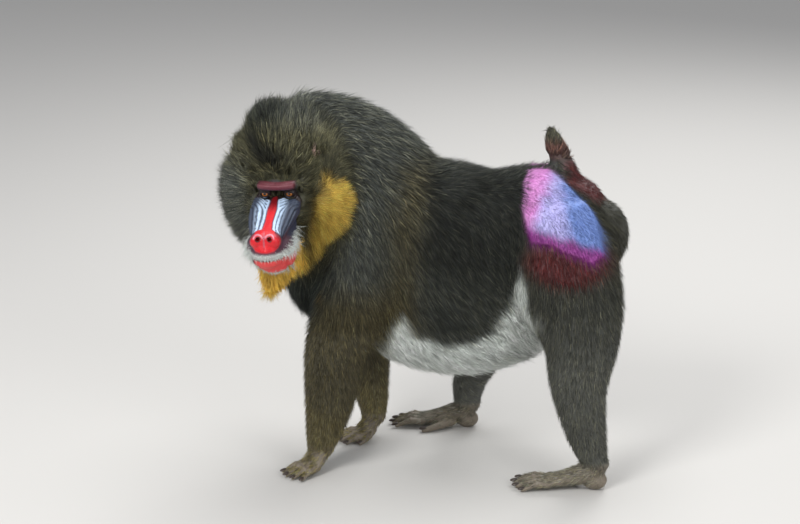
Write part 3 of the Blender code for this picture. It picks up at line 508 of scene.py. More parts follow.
class Spots:
    """Places on the body with the named regions that the coat, the colours and the folds are read from."""

    def __init__(self, points):
        self.body = points
        self.head = within(points, HEAD)
        self.face = within(points, FACE)
        x, y, z = points.T
        u, v, _ = self.head.T
        self.across = np.abs(v)
        self.ragged = wobble(points, 0.013)
        self.on_head = blob(self.head, (0.03, 0, -0.01), (0.19, 0.135, 0.165), 0.12) * step(u, -0.085, -0.03)
        self.crest = blob(self.head, (-0.034, 0, 0.060), (0.095, 0.075, 0.090), 0.25) * step(u, 0.062, 0.040)
        self.ruff = blob(self.head, (0.0, 0, -0.035), (0.060, 0.135, 0.125), 0.2)
        self.ruff *= step(self.across, 0.045, 0.070)
        self.find_face()
        self.ears = np.maximum.reduce([
            blob(self.head, (forward + 0.010, -SIDE_OF[side] * across, up - 0.012), (0.018, 0.024, 0.015))
            for side, (forward, across, up) in EAR_PLACE.items()
        ])
        self.neck = blob(points, (-0.07, -0.02, 0.60), (0.17, 0.17, 0.15), 0.2)
        self.mantle = self.neck * step(z, 0.54, 0.60)
        self.chest = blob(points, (-0.14, -0.01, 0.40), (0.12, 0.13, 0.17), 0.2)
        gold_x = x + 0.045 * step(y, 0.0, 0.05)
        self.gold = inside(np.c_[gold_x, z] + 0.006 * self.ragged[:, None], GOLD_EDGE, 0.010)
        self.gold *= step(np.abs(y), 0.055, 0.075)
        left_arm = step(y, -0.03, -0.07) * step(x, 0.0, -0.03)
        right_arm = step(y, 0.03, 0.06) * step(x, 0.04, 0.0)
        self.arms = np.maximum(left_arm, right_arm) * step(z, 0.34, 0.27)
        self.legs = step(x, 0.05, 0.09) * step(z, 0.40, 0.30) * step(np.abs(y), 0.055, 0.085)
        self.legs *= np.maximum(step(x, 0.26, 0.29), step(y, 0.07, 0.09))
        self.wrists = step(z, 0.125 + 0.02 * self.ragged, 0.065)
        self.paws = step(z, 0.060, 0.046)
        self.belly = inside(np.c_[x, z] + 0.010 * self.ragged[:, None], BELLY_EDGE, 0.010)
        self.belly *= 1 - step(y, 0.0, 0.04) * step(x, 0.19, 0.22) * step(z, 0.28, 0.32)
        low = step(z, 0.27, 0.22) * step(x, -0.05, 0.0) * step(x, 0.27, 0.23)
        self.belly = np.maximum(self.belly, low) * (1 - self.arms) * (1 - self.legs)
        self.fringe = self.belly * step(z, 0.30, 0.22)
        self.find_rump()

    def find_face(self):
        """The bare face with its brow, eyes, nose pad, and the hair round the mouth."""
        u, v, w = self.face.T
        lowest = -0.094 + 0.9 * np.clip(0.175 - u, 0, 1)
        self.side = np.abs(v)
        self.lip_side = np.abs(v - MOUTH_ASIDE)
        reach = 0.046 - 0.010 * step(w, -0.002, 0.012)
        self.bare_face = step(self.side, reach + 0.003, reach - 0.003) * step(u, 0.050, 0.058)
        self.bare_face *= step(w, 0.0350, 0.0305)
        self.bare_face *= step(w, lowest - 0.004, lowest + 0.002)
        self.brow = blob(self.face, (0.081, 0.001, 0.029), (0.024, 0.040, 0.0080), 0.35)
        self.eyes = step(u, 0.086, 0.080) * self.bare_face
        self.pad = blob(self.face, (0.206, 0.001, -0.021), (0.024, 0.0275, 0.0185), 0.08)
        self.line = -0.0545 + 0.09 * (u - 0.2)
        chin = step(w, -0.084, -0.094) * step(u, 0.060, 0.100) * step(self.side, 0.075, 0.060)
        jaw_side = step(w, lowest + 0.004, lowest - 0.012) * step(u, 0.080, 0.100) * step(w, -0.050, -0.062)
        self.beard = np.maximum(chin, jaw_side * step(self.side, 0.075, 0.060)) * step(w, -0.200, -0.185)
        throat = blob(np.c_[u, self.side, w], (0.052, 0.012, -0.130), (0.040, 0.026, 0.030), 0.3)
        self.beard = np.maximum(self.beard, throat) * step(u, 0.30, 0.25) * (1 - self.bare_face)

    def find_rump(self):
        """The rump's bare patch, what lies round it, and the tail."""
        x, y, z = self.body.T
        off_spine = step(np.abs(y), 0.010, 0.018) * step(np.abs(y) + 0.6 * (0.31 - x), 0.026, 0.034)
        self.rump = inside(np.c_[x, z] + 0.004 * self.ragged[:, None], RUMP_EDGE, 0.006) * off_spine
        self.under_rump = blob(np.c_[x, z], (0.335, 0.448), (0.074, 0.038))
        self.under_rump *= step(np.abs(y), 0.05, 0.08)
        self.rear_line = step(np.abs(y), 0.044, 0.032) * step(x, 0.310, 0.330) * step(z, 0.50, 0.53)
        self.seat = blob(self.body, (0.410, 0.0, 0.475), (0.035, 0.038, 0.045), 0.25)
        self.tail = blob(self.body, (0.305, 0, 0.63), (0.045, 0.045, 0.055), 0.15) * step(z, 0.598, 0.612)


def coat_plan(spots):
    """The coat's depth over the skin at each place, and its tufts' length, width and share of density."""
    plan = laid_in_turn(np.tile(PLAIN_COAT, (len(spots.body), 1)), (
        (spots.chest, (0.0115, 0.036, 0.0011, 1.0)),
        (spots.neck, (0.0125, 0.036, 0.0010, 1.0)),
        (spots.mantle, (0.0140, 0.038, 0.0010, 1.0)),
        (spots.belly, (0.0095, 0.036, 0.0013, 1.1)),
        (spots.fringe, (0.0120, 0.044, 0.0013, 1.2)),
        (spots.arms, (0.0058, 0.018, 0.0009, 1.5)),
        (spots.legs, (0.0054, 0.018, 0.0009, 1.5)),
        (spots.rump, (0.0038, 0.014, 0.0009, 1.5)),
        (spots.under_rump * (1 - spots.rump), (0.0055, 0.020, 0.0010, 1.3)),
        (spots.rear_line, (0.0040, 0.014, 0.0010, 1.1)),
        (spots.seat, (0.0030, 0.012, 0.0010, 0.9)),
        (spots.tail, (0.0055, 0.024, 0.0012, 2.6)),
        (spots.wrists * np.maximum(spots.arms, spots.legs), (0.0030, 0.013, 0.0009, 2.0)),
        (spots.paws, (0.0026, 0.014, 0.0012, 2.6)),
        (spots.on_head, (0.0080, 0.020, 0.0009, 1.9)),
        (spots.crest, (0.0190, 0.034, 0.0010, 1.6)),
        (spots.ruff, (0.0170, 0.030, 0.0009, 1.7)),
        (spots.gold, (0.0130, 0.034, 0.0011, 1.6)),
        (spots.ears * spots.on_head, (0.0150, 0.010, 0.0009, 0.5)),
        (spots.beard, (0.0110, 0.034, 0.0011, 2.2)),
    ))
    bare = spots.bare_face
    plan[:, 0] *= 1 - bare
    plan[:, 1] = laid(plan[:, 1], bare, FACE_TUFT_LENGTH)
    plan[:, 2] = laid(plan[:, 2], bare, FACE_TUFT_WIDTH)
    plan[:, 3] *= 1 - bare
    return plan


def colours():
    """The scene's colour settings."""
    return bpy.context.scene.mandrill_colours


def all_of(colour, spots):
    """One colour at every place."""
    return np.tile(np.array(colour), (len(spots.body), 1))


def marks(spots):
    """The coat's colour at each place, with painted shade above the brow and behind the ruff, and painted
    light on the far cheek and on the crest.
    """
    c = colours()
    x, _, z = spots.body.T
    ragged = wobble(spots.body, 0.020, 3.0)
    band = np.exp(-(((x - 0.030 + 0.01 * ragged) / 0.028) ** 2)) * step(z, 0.64, 0.58)
    shade = laid_in_turn(all_of(c.charcoal, spots), (
        (step(z, 0.56, 0.60) * 0.45, c.smoke),
        (step(x + 0.02 * ragged, 0.075, 0.015), c.smoke),
        (band * 0.7, c.olive),
        (step(x, 0.24, 0.27) * step(z, 0.64, 0.50), c.grey_brown),
        (spots.legs * step(z, 0.34, 0.22), c.ash),
        (step(z, 0.42, 0.34) * step(x, 0.06, 0.02), c.olive),
        (step(z, 0.47, 0.36) * step(x, 0.03, 0.07) * 0.45, c.smoke),
        (spots.chest * step(x, -0.07, -0.12) * step(z, 0.55, 0.50), c.slate),
        (spots.belly, c.white),
        (spots.arms * step(z, 0.17 + 0.05 * ragged, 0.06) * 0.55, c.hand_hair),
        (spots.paws * 0.85, c.paw_hair),
        (spots.paws * step(x, 0.02, -0.02) * 0.9, c.hand_hair),
    ))
    shade = rump_marks(shade, spots)
    # Near-black painted shade, for the fold above the brow and for the shadow behind the ruff
    dark = np.array(c.charcoal) * 0.30
    on_head = spots.on_head * step(spots.head[:, 0], -0.06, -0.02)
    # Painted light: the far cheek is painted paler, as the side the light falls on
    light_on_far_cheek = step(spots.head[:, 1], -0.030, -0.065) * step(spots.head[:, 2], 0.060, 0.010)
    # A painted highlight: paler grey on the upper side of the crest
    crest_highlight = blob(spots.head, (-0.010, 0.052, 0.088), (0.040, 0.040, 0.026), 0.6)
    u, v, w = spots.face.T
    # Painted shade: a dark fold where the hair parts above the brow, and a softer band just over the brow
    shade_in_brow_fold = np.exp(-(((v + 0.75 * (w - 0.058) + 0.022) / 0.014) ** 2))
    shade_in_brow_fold *= step(w, 0.030, 0.040) * step(w, 0.100, 0.070)
    shade_in_brow_fold *= step(u, 0.0, 0.02)
    shade_above_brow = blob(spots.face, (0.056, 0.012, 0.042), (0.030, 0.030, 0.009), 0.5)
    # Painted shadow at the back of each ruff, where it meets the neck
    shadow_behind_ruff = blob(spots.head, (0.020, 0.0, 0.000), (0.045, 0.105, 0.100), 0.10)
    shadow_behind_ruff *= step(spots.across, 0.076, 0.090)
    return laid_in_turn(shade, (
        (on_head, c.moss),
        # painted light on the far cheek
        (on_head * light_on_far_cheek, np.array(c.smoke) * 1.25),
        (on_head * step(spots.head[:, 2], 0.060, 0.105) * 0.9, c.soot),
        # painted highlight on the crest
        (on_head * crest_highlight * 0.5, c.smoke),
        # painted shade above the brow
        (np.maximum(shade_in_brow_fold * 0.95, shade_above_brow * 0.45), dark),
        # painted shadow behind the ruff
        (shadow_behind_ruff * on_head * 0.45, dark),
        (spots.gold, c.gold),
        (spots.beard, c.beard),
    ))


def rump_marks(shade, spots):
    """Lays the bare patch's bands of pink, lilac, blue and purple over the coat's colours."""
    c = colours()
    x, _, z = spots.body.T
    streak = wobble(spots.body * (1, 1, 0.35), 0.006, 5.0)
    floor = 0.476 - 0.28 * (x - 0.30)
    patch = laid_in_turn(all_of(c.rump_lilac, spots), (
        (step(x - 0.30 * (z - 0.53) + 0.004 * streak, 0.296, 0.264), c.rump_pink),
        (step(x - 0.25 * (0.53 - z) + 0.006 * streak, 0.312, 0.345), c.rump_blue),
        (step(z + 0.006 * streak, floor + 0.028, floor + 0.008), c.rump_purple),
    ))
    return laid_in_turn(shade, (
        (spots.under_rump * 0.9, c.maroon),
        (spots.rump, patch),
        (spots.rear_line * step(z, 0.525, 0.545) * (1 - spots.tail) * 0.8, c.maroon),
        (spots.seat, c.grey_brown),
        (spots.tail, c.grey_brown),
        (spots.tail * step(z, 0.628, 0.610) * 0.45, c.maroon),
    ))


def ridge_frame(spots):
    """The ridges' mask, the place across each from the bridge, 0, to the cheek, 1, and the bridge's mask."""
    u, v, w = spots.face.T
    side = np.abs(v + BRIDGE_LEAN * (0.2 - u))
    half = np.interp(u, BRIDGE_ALONG, BRIDGE_HALF)
    angle = np.degrees(np.arctan2(side, w + RIDGE_AXIS_DOWN))
    inner = np.degrees(np.arctan2(half + 0.0012, w + RIDGE_AXIS_DOWN))
    across = (angle - inner) / (RIDGE_EDGE - inner)
    start = 0.074 + 0.012 * (2 * np.clip(across, 0, 1.2) - 0.9) ** 2
    mask = step(across, -0.02, 0.05) * step(across, 1.06, 0.94)
    mask *= step(u, start - 0.002, start + 0.003) * step(u, 0.196, 0.186)
    mask *= np.maximum(step(w, 0.0045, 0.0025), step(u, 0.092, 0.100) * step(w, 0.014, 0.009))
    bridge = step(side, half + 0.0008, half - 0.0008) * step(w, -0.040, -0.030) * step(u, 0.066, 0.072)
    return mask, across, bridge * step(w, 0.021, 0.017)


def furrows(across, u):
    """The grooves that run along each ridge, bent outward at the top as they round its end."""
    fan = across - 1.1 * (np.clip(0.125 - u, 0, 1) / 0.055) ** 2
    return step(np.cos(2 * math.pi * 4.5 * fan), 0.35, 0.92)


def face_marks(shade, spots):
    """Lays the bare face's colours over the skin's."""
    c = colours()
    u, v, w = spots.face.T
    line = spots.line
    ridge, across, bridge = ridge_frame(spots)
    blue = laid_in_turn(all_of(c.ridge_pale, spots), (
        (step(across, 0.30, 0.62), c.ridge_blue),
        (furrows(across, u) * step(across, 0.08, 0.18) * 0.85, c.furrow),
    ))
    deep = np.array(c.nose) * (0.30, 0.35, 0.45)
    red = laid(all_of(deep, spots), step(u, 0.085, 0.130), c.nose)
    cleft = blob(spots.face, (0.214, 0, -0.018), (0.012, 0.0016, 0.014), 0.4)
    shade = laid_in_turn(shade, (
        (spots.bare_face, c.jowl),
        (step(u, 0.175, 0.150) * step(w, -0.060, -0.045), np.array(c.furrow) * 2.4),
        (ridge * 0.97, blue),
        (spots.eyes * (1 - ridge), c.eye_skin),
        (bridge, red),
        (spots.pad, c.nose),
        (cleft * 0.35, c.maroon),
    ))
    for sign in (-1, 1):
        centre = (NOSE_FORWARD, NOSTRIL_APART * sign, NOSTRIL_UP)
        # A painted highlight: a pale arc round the top of each nostril
        rim = blob(spots.face, centre, (0.014, 0.0090, 0.0080), 0.15)
        rim *= 1 - blob(spots.face, centre, (0.014, 0.0074, 0.0064), 0.15)
        rim *= step(w, NOSTRIL_UP - 0.001, NOSTRIL_UP + 0.003)
        # Painted shade: the inside of each nostril painted near-black
        nostril_shade = blob(spots.face, centre, (0.012, 0.0050, 0.0042), 0.35)
        shade = laid_in_turn(shade, ((rim * 0.45, c.ridge_pale), (nostril_shade, c.eye_skin)))
    # A painted highlight: a pale line down the middle of the nose pad
    seam_highlight = step(np.abs(v), 0.0011, 0.0004) * step(u, 0.198, 0.204) * step(w, -0.030, -0.024)
    upper = step(w, line + 0.015, line + 0.009) * step(w, line - 0.001, line + 0.001) * step(u, 0.150, 0.180)
    lower = step(w, line + 0.001, line - 0.001) * step(u, 0.110, 0.130) * step(spots.lip_side, 0.035, 0.030)
    return laid_in_turn(shade, (
        # painted highlight down the nose pad
        (seam_highlight * 0.35, c.ridge_pale),
        (upper * 0.45 * (1 - spots.pad), c.white),
        (lower, c.lip),
        # Painted shade: a near-black line in the slit between the lips
        (step(np.abs(w - line), 0.0016, 0.0006) * step(u, 0.12, 0.14), c.eye_skin),
        (spots.brow, c.brow),
    ))


def face_relief(spots):
    """How far the face's folds stand out from the smooth form, inward where negative."""
    u, v, w = spots.face.T
    ridge, across, bridge = ridge_frame(spots)
    relief = ridge * (0.0020 - 0.0030 * furrows(across, u) * step(across, 0.05, 0.2))
    relief -= 0.0012 * bridge * step(u, 0.190, 0.170)
    lips = step(u, 0.12, 0.15) * step(spots.side, 0.055, 0.045)
    relief -= 0.0032 * np.exp(-(((w - spots.line) / 0.0014) ** 2)) * lips
    relief += 0.0014 * np.exp(-(((w - spots.line - 0.006) / 0.0040) ** 2)) * lips
    relief += 0.0022 * np.exp(-(((w - spots.line + 0.009) / 0.0070) ** 2)) * lips
    eye = np.sqrt(((spots.side - EYE_APART) / 1.25) ** 2 + (w - EYE_UP) ** 2)
    near = step(eye, 0.026, 0.014) * step(u, 0.045, 0.060)
    relief += 0.0005 * np.cos(eye * 2 * math.pi / 0.0042) * near * step(eye, 0.008, 0.011)
    relief += spots.pad * 0.0012
    return relief - 0.0012 * np.exp(-((v / 0.0016) ** 2)) * step(u, 0.198, 0.206) * step(w, -0.045, -0.030)


def new_object(name, mesh):
    """An object of the mesh, in the scene."""
    made = bpy.data.objects.new(name, mesh)
    bpy.context.scene.collection.objects.link(made)
    return made


def mesh_of(build, name="form"):
    """A new object from a function that fills a bmesh."""
    shape = bmesh.new()
    build(shape)
    bmesh.ops.recalc_face_normals(shape, faces=shape.faces)
    mesh = bpy.data.meshes.new(name)
    shape.to_mesh(mesh)
    shape.free()
    return new_object(name, mesh)


def ellipsoid(centre, halves, turn=(0.0, 0.0, 0.0), segments=32):
    """A closed ellipsoid; turn is in degrees."""
    place = (
        Matrix.Translation(Vector(centre))
        @ Euler([math.radians(a) for a in turn]).to_matrix().to_4x4()
        @ Matrix.Diagonal((*halves, 1.0))
    )
    return mesh_of(
        lambda shape: bmesh.ops.create_uvsphere(
            shape, u_segments=segments, v_segments=segments // 2, radius=1.0, matrix=place
        )
    )


def smooth_path(values, steps):
    """Catmull-Rom interpolation of rows of numbers, passing through each of them."""
    rows = np.array(values, float)
    padded = np.vstack([2 * rows[0] - rows[1], rows, 2 * rows[-1] - rows[-2]])
    made = []
    for i in range(len(rows) - 1):
        a, b, c, d = padded[i : i + 4]
        for t in np.arange(steps) / steps:
            made.append(
                b
                + 0.5 * (c - a) * t
                + 0.5 * (2 * a - 5 * b + 4 * c - d) * t**2
                + 0.5 * (3 * b - a - 3 * c + d) * t**3
            )
    return np.array(made + [rows[-1]])


def loft(stations, across=(0.0, 1.0, 0.0), sides=24, steps=5):
    """A closed tube through stations of (centre, half width, half depth), with rounded ends."""
    rows = smooth_path([(*centre, width, depth) for centre, width, depth in stations], steps)
    centres = [Vector(row[:3]) for row in rows]
    last = len(rows) - 1
    tangents = [(centres[min(i + 1, last)] - centres[max(i - 1, 0)]).normalized() for i in range(last + 1)]
    rings = []
    for end, angles in ((0, (75, 50, 25)), (None, ()), (-1, (25, 50, 75))):
        if end is None:
            rings += [(centres[i], tangents[i], rows[i][3], rows[i][4]) for i in range(len(rows))]
            continue
        outward = tangents[end] * (-1 if end == 0 else 1)
        reach = min(rows[end][3], rows[end][4])
        for angle in angles:
            shrink = math.cos(math.radians(angle))
            centre = centres[end] + outward * reach * math.sin(math.radians(angle))
            rings.append((centre, tangents[end], rows[end][3] * shrink, rows[end][4] * shrink))

    def build(shape):
        loops = []
        for centre, tangent, width, depth in rings:
            side = (Vector(across) - Vector(across).dot(tangent) * tangent).normalized()
            other = tangent.cross(side)
            loops.append([
                shape.verts.new(
                    centre
                    + side * width * math.cos(2 * math.pi * k / sides)
                    + other * depth * math.sin(2 * math.pi * k / sides)
                )
                for k in range(sides)
            ])
        for first, second in zip(loops, loops[1:]):
            for k in range(sides):
                n = (k + 1) % sides
                shape.faces.new((first[k], first[n], second[n], second[k]))
        shape.faces.new(list(reversed(loops[0])))
        shape.faces.new(loops[-1])

    return mesh_of(build)


def tube(points, radii):
    """A closed round tube through points, each with its radius."""
    return loft([(p, r, r) for p, r in zip(points, radii)], sides=14)


def apply_modifiers(thing):
    """Replaces the object's mesh with its evaluated one."""
    bpy.context.view_layer.update()
    graph = bpy.context.evaluated_depsgraph_get()
    mesh = bpy.data.meshes.new_from_object(thing.evaluated_get(graph))
    old = thing.data
    thing.modifiers.clear()
    thing.data = mesh
    bpy.data.meshes.remove(old)
    return thing


def blended(name, forms, voxel, smoothing):
    """One closed skin round overlapping forms: a voxel remesh, smoothed."""
    shape = bmesh.new()
    for form in forms:
        shape.from_mesh(form.data)
        bpy.data.objects.remove(form)
    mesh = bpy.data.meshes.new(name)
    shape.to_mesh(mesh)
    shape.free()
    skin = new_object(name, mesh)
    remesh = skin.modifiers.new("one_skin", "REMESH")
    remesh.mode = "VOXEL"
    remesh.voxel_size = voxel
    soften = skin.modifiers.new("soften", "SMOOTH")
    soften.factor = 0.5
    soften.iterations = smoothing
    return apply_modifiers(skin)


def boolean(thing, other, operation):
    """Cuts or joins two closed meshes, applied; the other one is removed."""
    cut = thing.modifiers.new("cut", "BOOLEAN")
    cut.operation = operation
    cut.solver = "MANIFOLD"
    cut.object = other
    apply_modifiers(thing)
    bpy.data.objects.remove(other)
    return thing


def points_of(mesh):
    """The mesh's points, one to a row."""
    values = np.empty(len(mesh.vertices) * 3, np.float32)
    mesh.vertices.foreach_get("co", values)
    return values.reshape(-1, 3).astype(float)


def normals_of(mesh):
    """The mesh's normals at its points, one to a row."""
    values = np.empty(len(mesh.vertices) * 3, np.float32)
    mesh.vertex_normals.foreach_get("vector", values)
    return values.reshape(-1, 3).astype(float)


def set_points(mesh, points):
    """Moves the mesh's points to the rows given."""
    mesh.vertices.foreach_set("co", points.astype(np.float32).ravel())
    mesh.update()


def set_colour(mesh, name, values):
    """Stores one colour for each point."""
    layer = mesh.color_attributes.new(name, "FLOAT_COLOR", "POINT")
    rgba = np.ones((len(values), 4), np.float32)
    rgba[:, :3] = values
    layer.data.foreach_set("color", rgba.ravel())


def set_number(mesh, name, values):
    """Stores one number for each point."""
    layer = mesh.attributes.new(name, "FLOAT", "POINT")
    layer.data.foreach_set("value", values.astype(np.float32))


def place_piece(thing, material, slot, nodes=()):
    """Carries a finished piece to the model's axes, and fixes it to the body with its finish."""
    thing.data.transform(Matrix.Translation(SHIFT))
    thing.data.materials.clear()
    thing.data.materials.append(material)
    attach(thing, BODY)
    if nodes:
        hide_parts(*nodes)


def finish_piece(thing, name, shade, material, slot, nodes=()):
    """Names, colours and smooths a piece, and places it."""
    set_colour(thing.data, "paint", shade)
    thing.name = thing.data.name = name
    thing.data.shade_smooth()
    place_piece(thing, material, slot, nodes)


def body_forms():
    """The trunk, neck, tail and limbs, in the body's axes."""
    barrel = [((x, 0.0, (top + low) / 2), half, (top - low) / 2) for x, top, low, half in TRUNK]
    (x, y, z), halves = BUTTOCK
    forms = [loft(barrel, sides=36), ellipsoid(*CHEST), loft(NECK, sides=36), loft(TAIL)]
    forms += [ellipsoid((x, y * sign, z), halves) for sign in SIDE_OF.values()]
    forms.append(ellipsoid(*SADDLE))
    for side in SIDE_OF:
        forms += [loft(ARMS[side]), loft(LEGS[side])]
    return forms


def mane_forms():
    """The skull with its crest and ruff, in the head's axes."""
    forms = [
        ellipsoid((-0.015, 0, 0.0), (0.078, 0.064, 0.060)),
        ellipsoid((-0.034, 0, 0.050), (0.082, 0.060, 0.088)),
    ]
    for side, (reach, ruff_halves) in RUFF.items():
        sign = -SIDE_OF[side]
        forms += [
            ellipsoid((0.002, reach * sign, -0.040), ruff_halves),
            ellipsoid((-0.012, 0.052 * sign, 0.030), (0.050, 0.030, 0.062)),
        ]
    return forms


def face_forms():
    """The brow, muzzle, lips, cheeks and beard, in the face's axes."""
    forms = [
        tube(BROW_PATH, (0.009, 0.011, 0.010, 0.011, 0.009)),
        ellipsoid(BROW_PATH[2], (0.0100, 0.0130, 0.0100)),
        loft((
            ((0.045, 0, -0.042), 0.056, 0.048),
            ((0.085, 0, -0.044), 0.044, 0.045),
            ((0.125, 0, -0.046), 0.039, 0.042),
            ((0.165, 0, -0.046), 0.036, 0.038),
            ((0.190, 0, -0.046), 0.031, 0.033),
        )),
        ellipsoid((0.150, 0.004, -0.076), (0.045, 0.037, 0.022)),
        ellipsoid((0.196, 0, -0.024), (0.017, 0.029, 0.022)),
        ellipsoid((0.183, 0.005, -0.072), (0.020, 0.024, 0.020)),
        loft(BEARD),
    ]
    for sign in (-1, 1):
        forms += [
            ellipsoid((0.045, 0.040 * sign, -0.025), (0.045, 0.028, 0.040)),
            ellipsoid((0.165, 0.022 * sign, -0.045), (0.035, 0.020, 0.018)),
            ellipsoid((0.204, 0.015 * sign, -0.020), (0.011, 0.012, 0.012)),
            tube([(u, v * sign, w) for u, v, w in RIDGE_PATH], (0.013, 0.013, 0.011, 0.008)),
        ]
    return forms


def paw_matrix(place, heading):
    """From a paw's own axes, digits forward, left and up from the floor, to the body's."""
    return Matrix.Translation((*place, 0.0)) @ Matrix.Rotation(math.radians(heading), 4, "Z")


def digits(row, base, inner, nails):
    """Fingers or toes with their knuckles; the place of each nail is added to nails."""
    forms = []
    for across, fan, length, radius in row:
        turn = math.radians(fan * inner)
        aim = Vector((math.cos(turn), math.sin(turn), 0))
        tip_radius = radius * 0.78
        start = Vector((base, across * inner, radius + 0.004))
        knuckle = start + aim * length * 0.45 + Vector((0, 0, 0.002))
        tip = Vector((*(start + aim * length).xy, tip_radius - SOLE_DIP))
        forms.append(tube((start, knuckle, tip), (radius, radius * 0.95, tip_radius)))
        forms.append(ellipsoid(knuckle + Vector((0, 0, radius * 0.25)), (radius * 0.9,) * 3, segments=12))
        forms.append(ellipsoid(start + Vector((0, 0, radius * 0.2)), (radius * 1.05,) * 3, segments=12))
        nails.append((tip + Vector((0, 0, tip_radius * 0.62)) + aim * tip_radius * 0.55, turn, tip_radius))
    return forms


def hand_forms(side, nails):
    """A hand in its own axes; the place of each nail is added to nails."""
    inner = SIDE_OF[side]
    forms = [
        loft((
            ((-0.001, 0, 0.062), 0.024, 0.027),
            ((0.004, 0, 0.042), 0.025, 0.021),
            ((0.014, 0, 0.025), 0.028, 0.016),
            ((0.028, 0, 0.013), 0.028, 0.012),
        )),
    ]
    forms += digits(FINGERS, 0.024, inner, nails)
    thumb = ((0.006, inner * 0.018, 0.022), (0.024, inner * 0.031, 0.011), (0.040, inner * 0.036, 0.004))
    forms.append(tube(thumb, (0.009, 0.0078, 0.0065)))
    nails.append((Vector((0.042, inner * 0.0365, 0.0088)), 0.0, 0.0062))
    return forms


def foot_forms(side, nails):
    """A foot in its own axes; the place of each nail is added to nails."""
    inner = SIDE_OF[side]
    forms = [
        ellipsoid((0.000, 0, 0.018), (0.026, 0.020, 0.021)),
        loft((
            ((-0.004, 0, 0.056), 0.022, 0.027),
            ((0.014, 0, 0.034), 0.022, 0.024),
            ((0.052, 0, 0.021), 0.023, 0.017),
            ((0.092, 0, 0.013), 0.028, 0.011),
        )),
    ]
    forms += digits(TOES, 0.088, inner, nails)
    thumb = ((0.030, inner * 0.014, 0.014), (0.058, inner * 0.036, 0.010), (0.082, inner * 0.045, 0.004))
    forms.append(tube(thumb, (0.012, 0.0095, 0.0075)))
    nails.append((Vector((0.084, inner * 0.0455, 0.0098)), 0.0, 0.0072))
    return forms


def paws():
    """Each paw's maker, side, place and heading."""
    for side in SIDE_OF:
        yield hand_forms, side, *HANDS[side]
        yield foot_forms, side, *FEET[side]


def nail_places():
    """Every nail's place and turn on the body, and its digit's radius."""
    for maker, side, place, heading in paws():
        nails = []
        for form in maker(side, nails):
            bpy.data.objects.remove(form)
        for spot, turn, size in nails:
            yield paw_matrix(place, heading) @ Matrix.Translation(spot) @ Matrix.Rotation(turn, 4, "Z"), size


def cupped_ear(side):
    """A cupped ear, with the knob before its opening."""
    sign = -SIDE_OF[side]
    forward, across, rise = EAR_PLACE[side]
    place = Vector((forward, across * sign, rise))
    turn = (0.0, EAR_TURN[0], -EAR_TURN[1] * sign)
    outward = Vector((0.6, sign, 0)).normalized()
    ear = ellipsoid(place, EAR_HALVES, turn, 40)
    boolean(ear, ellipsoid(place + outward * 0.008, (0.0115, 0.009, 0.0175), turn, 32), "DIFFERENCE")
    knob = place + outward * 0.002 + Vector((0.004, 0, -0.004))
    boolean(ear, ellipsoid(knob, (0.004, 0.006, 0.006)), "UNION")
    ear.data.transform(HEAD)
    return ear


def node_group(name, inputs, outputs):
    """An empty shader node group with named sockets, and its two ends."""
    tree = bpy.data.node_groups.new(name, "ShaderNodeTree")
    for label, kind, value in inputs:
        socket = tree.interface.new_socket(name=label, in_out="INPUT", socket_type=kind)
        socket.default_value = value
    for label, kind in outputs:
        tree.interface.new_socket(name=label, in_out="OUTPUT", socket_type=kind)
    return tree, tree.nodes.new("NodeGroupInput"), tree.nodes.new("NodeGroupOutput")


def mottle_group():
    """Colour that varies over the surface in two grains, and a height that goes with it."""
    if "mottle" in bpy.data.node_groups:
        return bpy.data.node_groups["mottle"]
    tree, start, end = node_group(
        "mottle",
        (
            ("Colour", "NodeSocketColor", (0.5, 0.5, 0.5, 1.0)),
            ("Coarse Scale", "NodeSocketFloat", 30.0),
            ("Fine Scale", "NodeSocketFloat", 400.0),
            ("Amount", "NodeSocketFloat", 0.2),
        ),
        (("Colour", "NodeSocketColor"), ("Height", "NodeSocketFloat")),
    )
    link = tree.links.new
    place = tree.nodes.new("ShaderNodeTexCoord").outputs["Object"]
    grains = []
    for label in ("Coarse Scale", "Fine Scale"):
        noise = tree.nodes.new("ShaderNodeTexNoise")
        noise.inputs["Detail"].default_value = 4.0
        link(place, noise.inputs["Vector"])
        link(start.outputs[label], noise.inputs["Scale"])
        grains.append(noise.outputs["Fac"])
    both = tree.nodes.new("ShaderNodeMath")
    both.operation = "ADD"
    link(grains[0], both.inputs[0])
    link(grains[1], both.inputs[1])
    centred = tree.nodes.new("ShaderNodeMath")
    centred.operation = "SUBTRACT"
    link(both.outputs[0], centred.inputs[0])
    centred.inputs[1].default_value = 1.0
    scaled = tree.nodes.new("ShaderNodeMath")
    scaled.operation = "MULTIPLY_ADD"
    link(centred.outputs[0], scaled.inputs[0])
    link(start.outputs["Amount"], scaled.inputs[1])
    scaled.inputs[2].default_value = 1.0
    tinted = tree.nodes.new("ShaderNodeVectorMath")
    tinted.operation = "SCALE"
    link(start.outputs["Colour"], tinted.inputs[0])
    link(scaled.outputs[0], tinted.inputs["Scale"])
    link(tinted.outputs[0], end.inputs["Colour"])
    link(grains[1], end.inputs["Height"])
    return tree


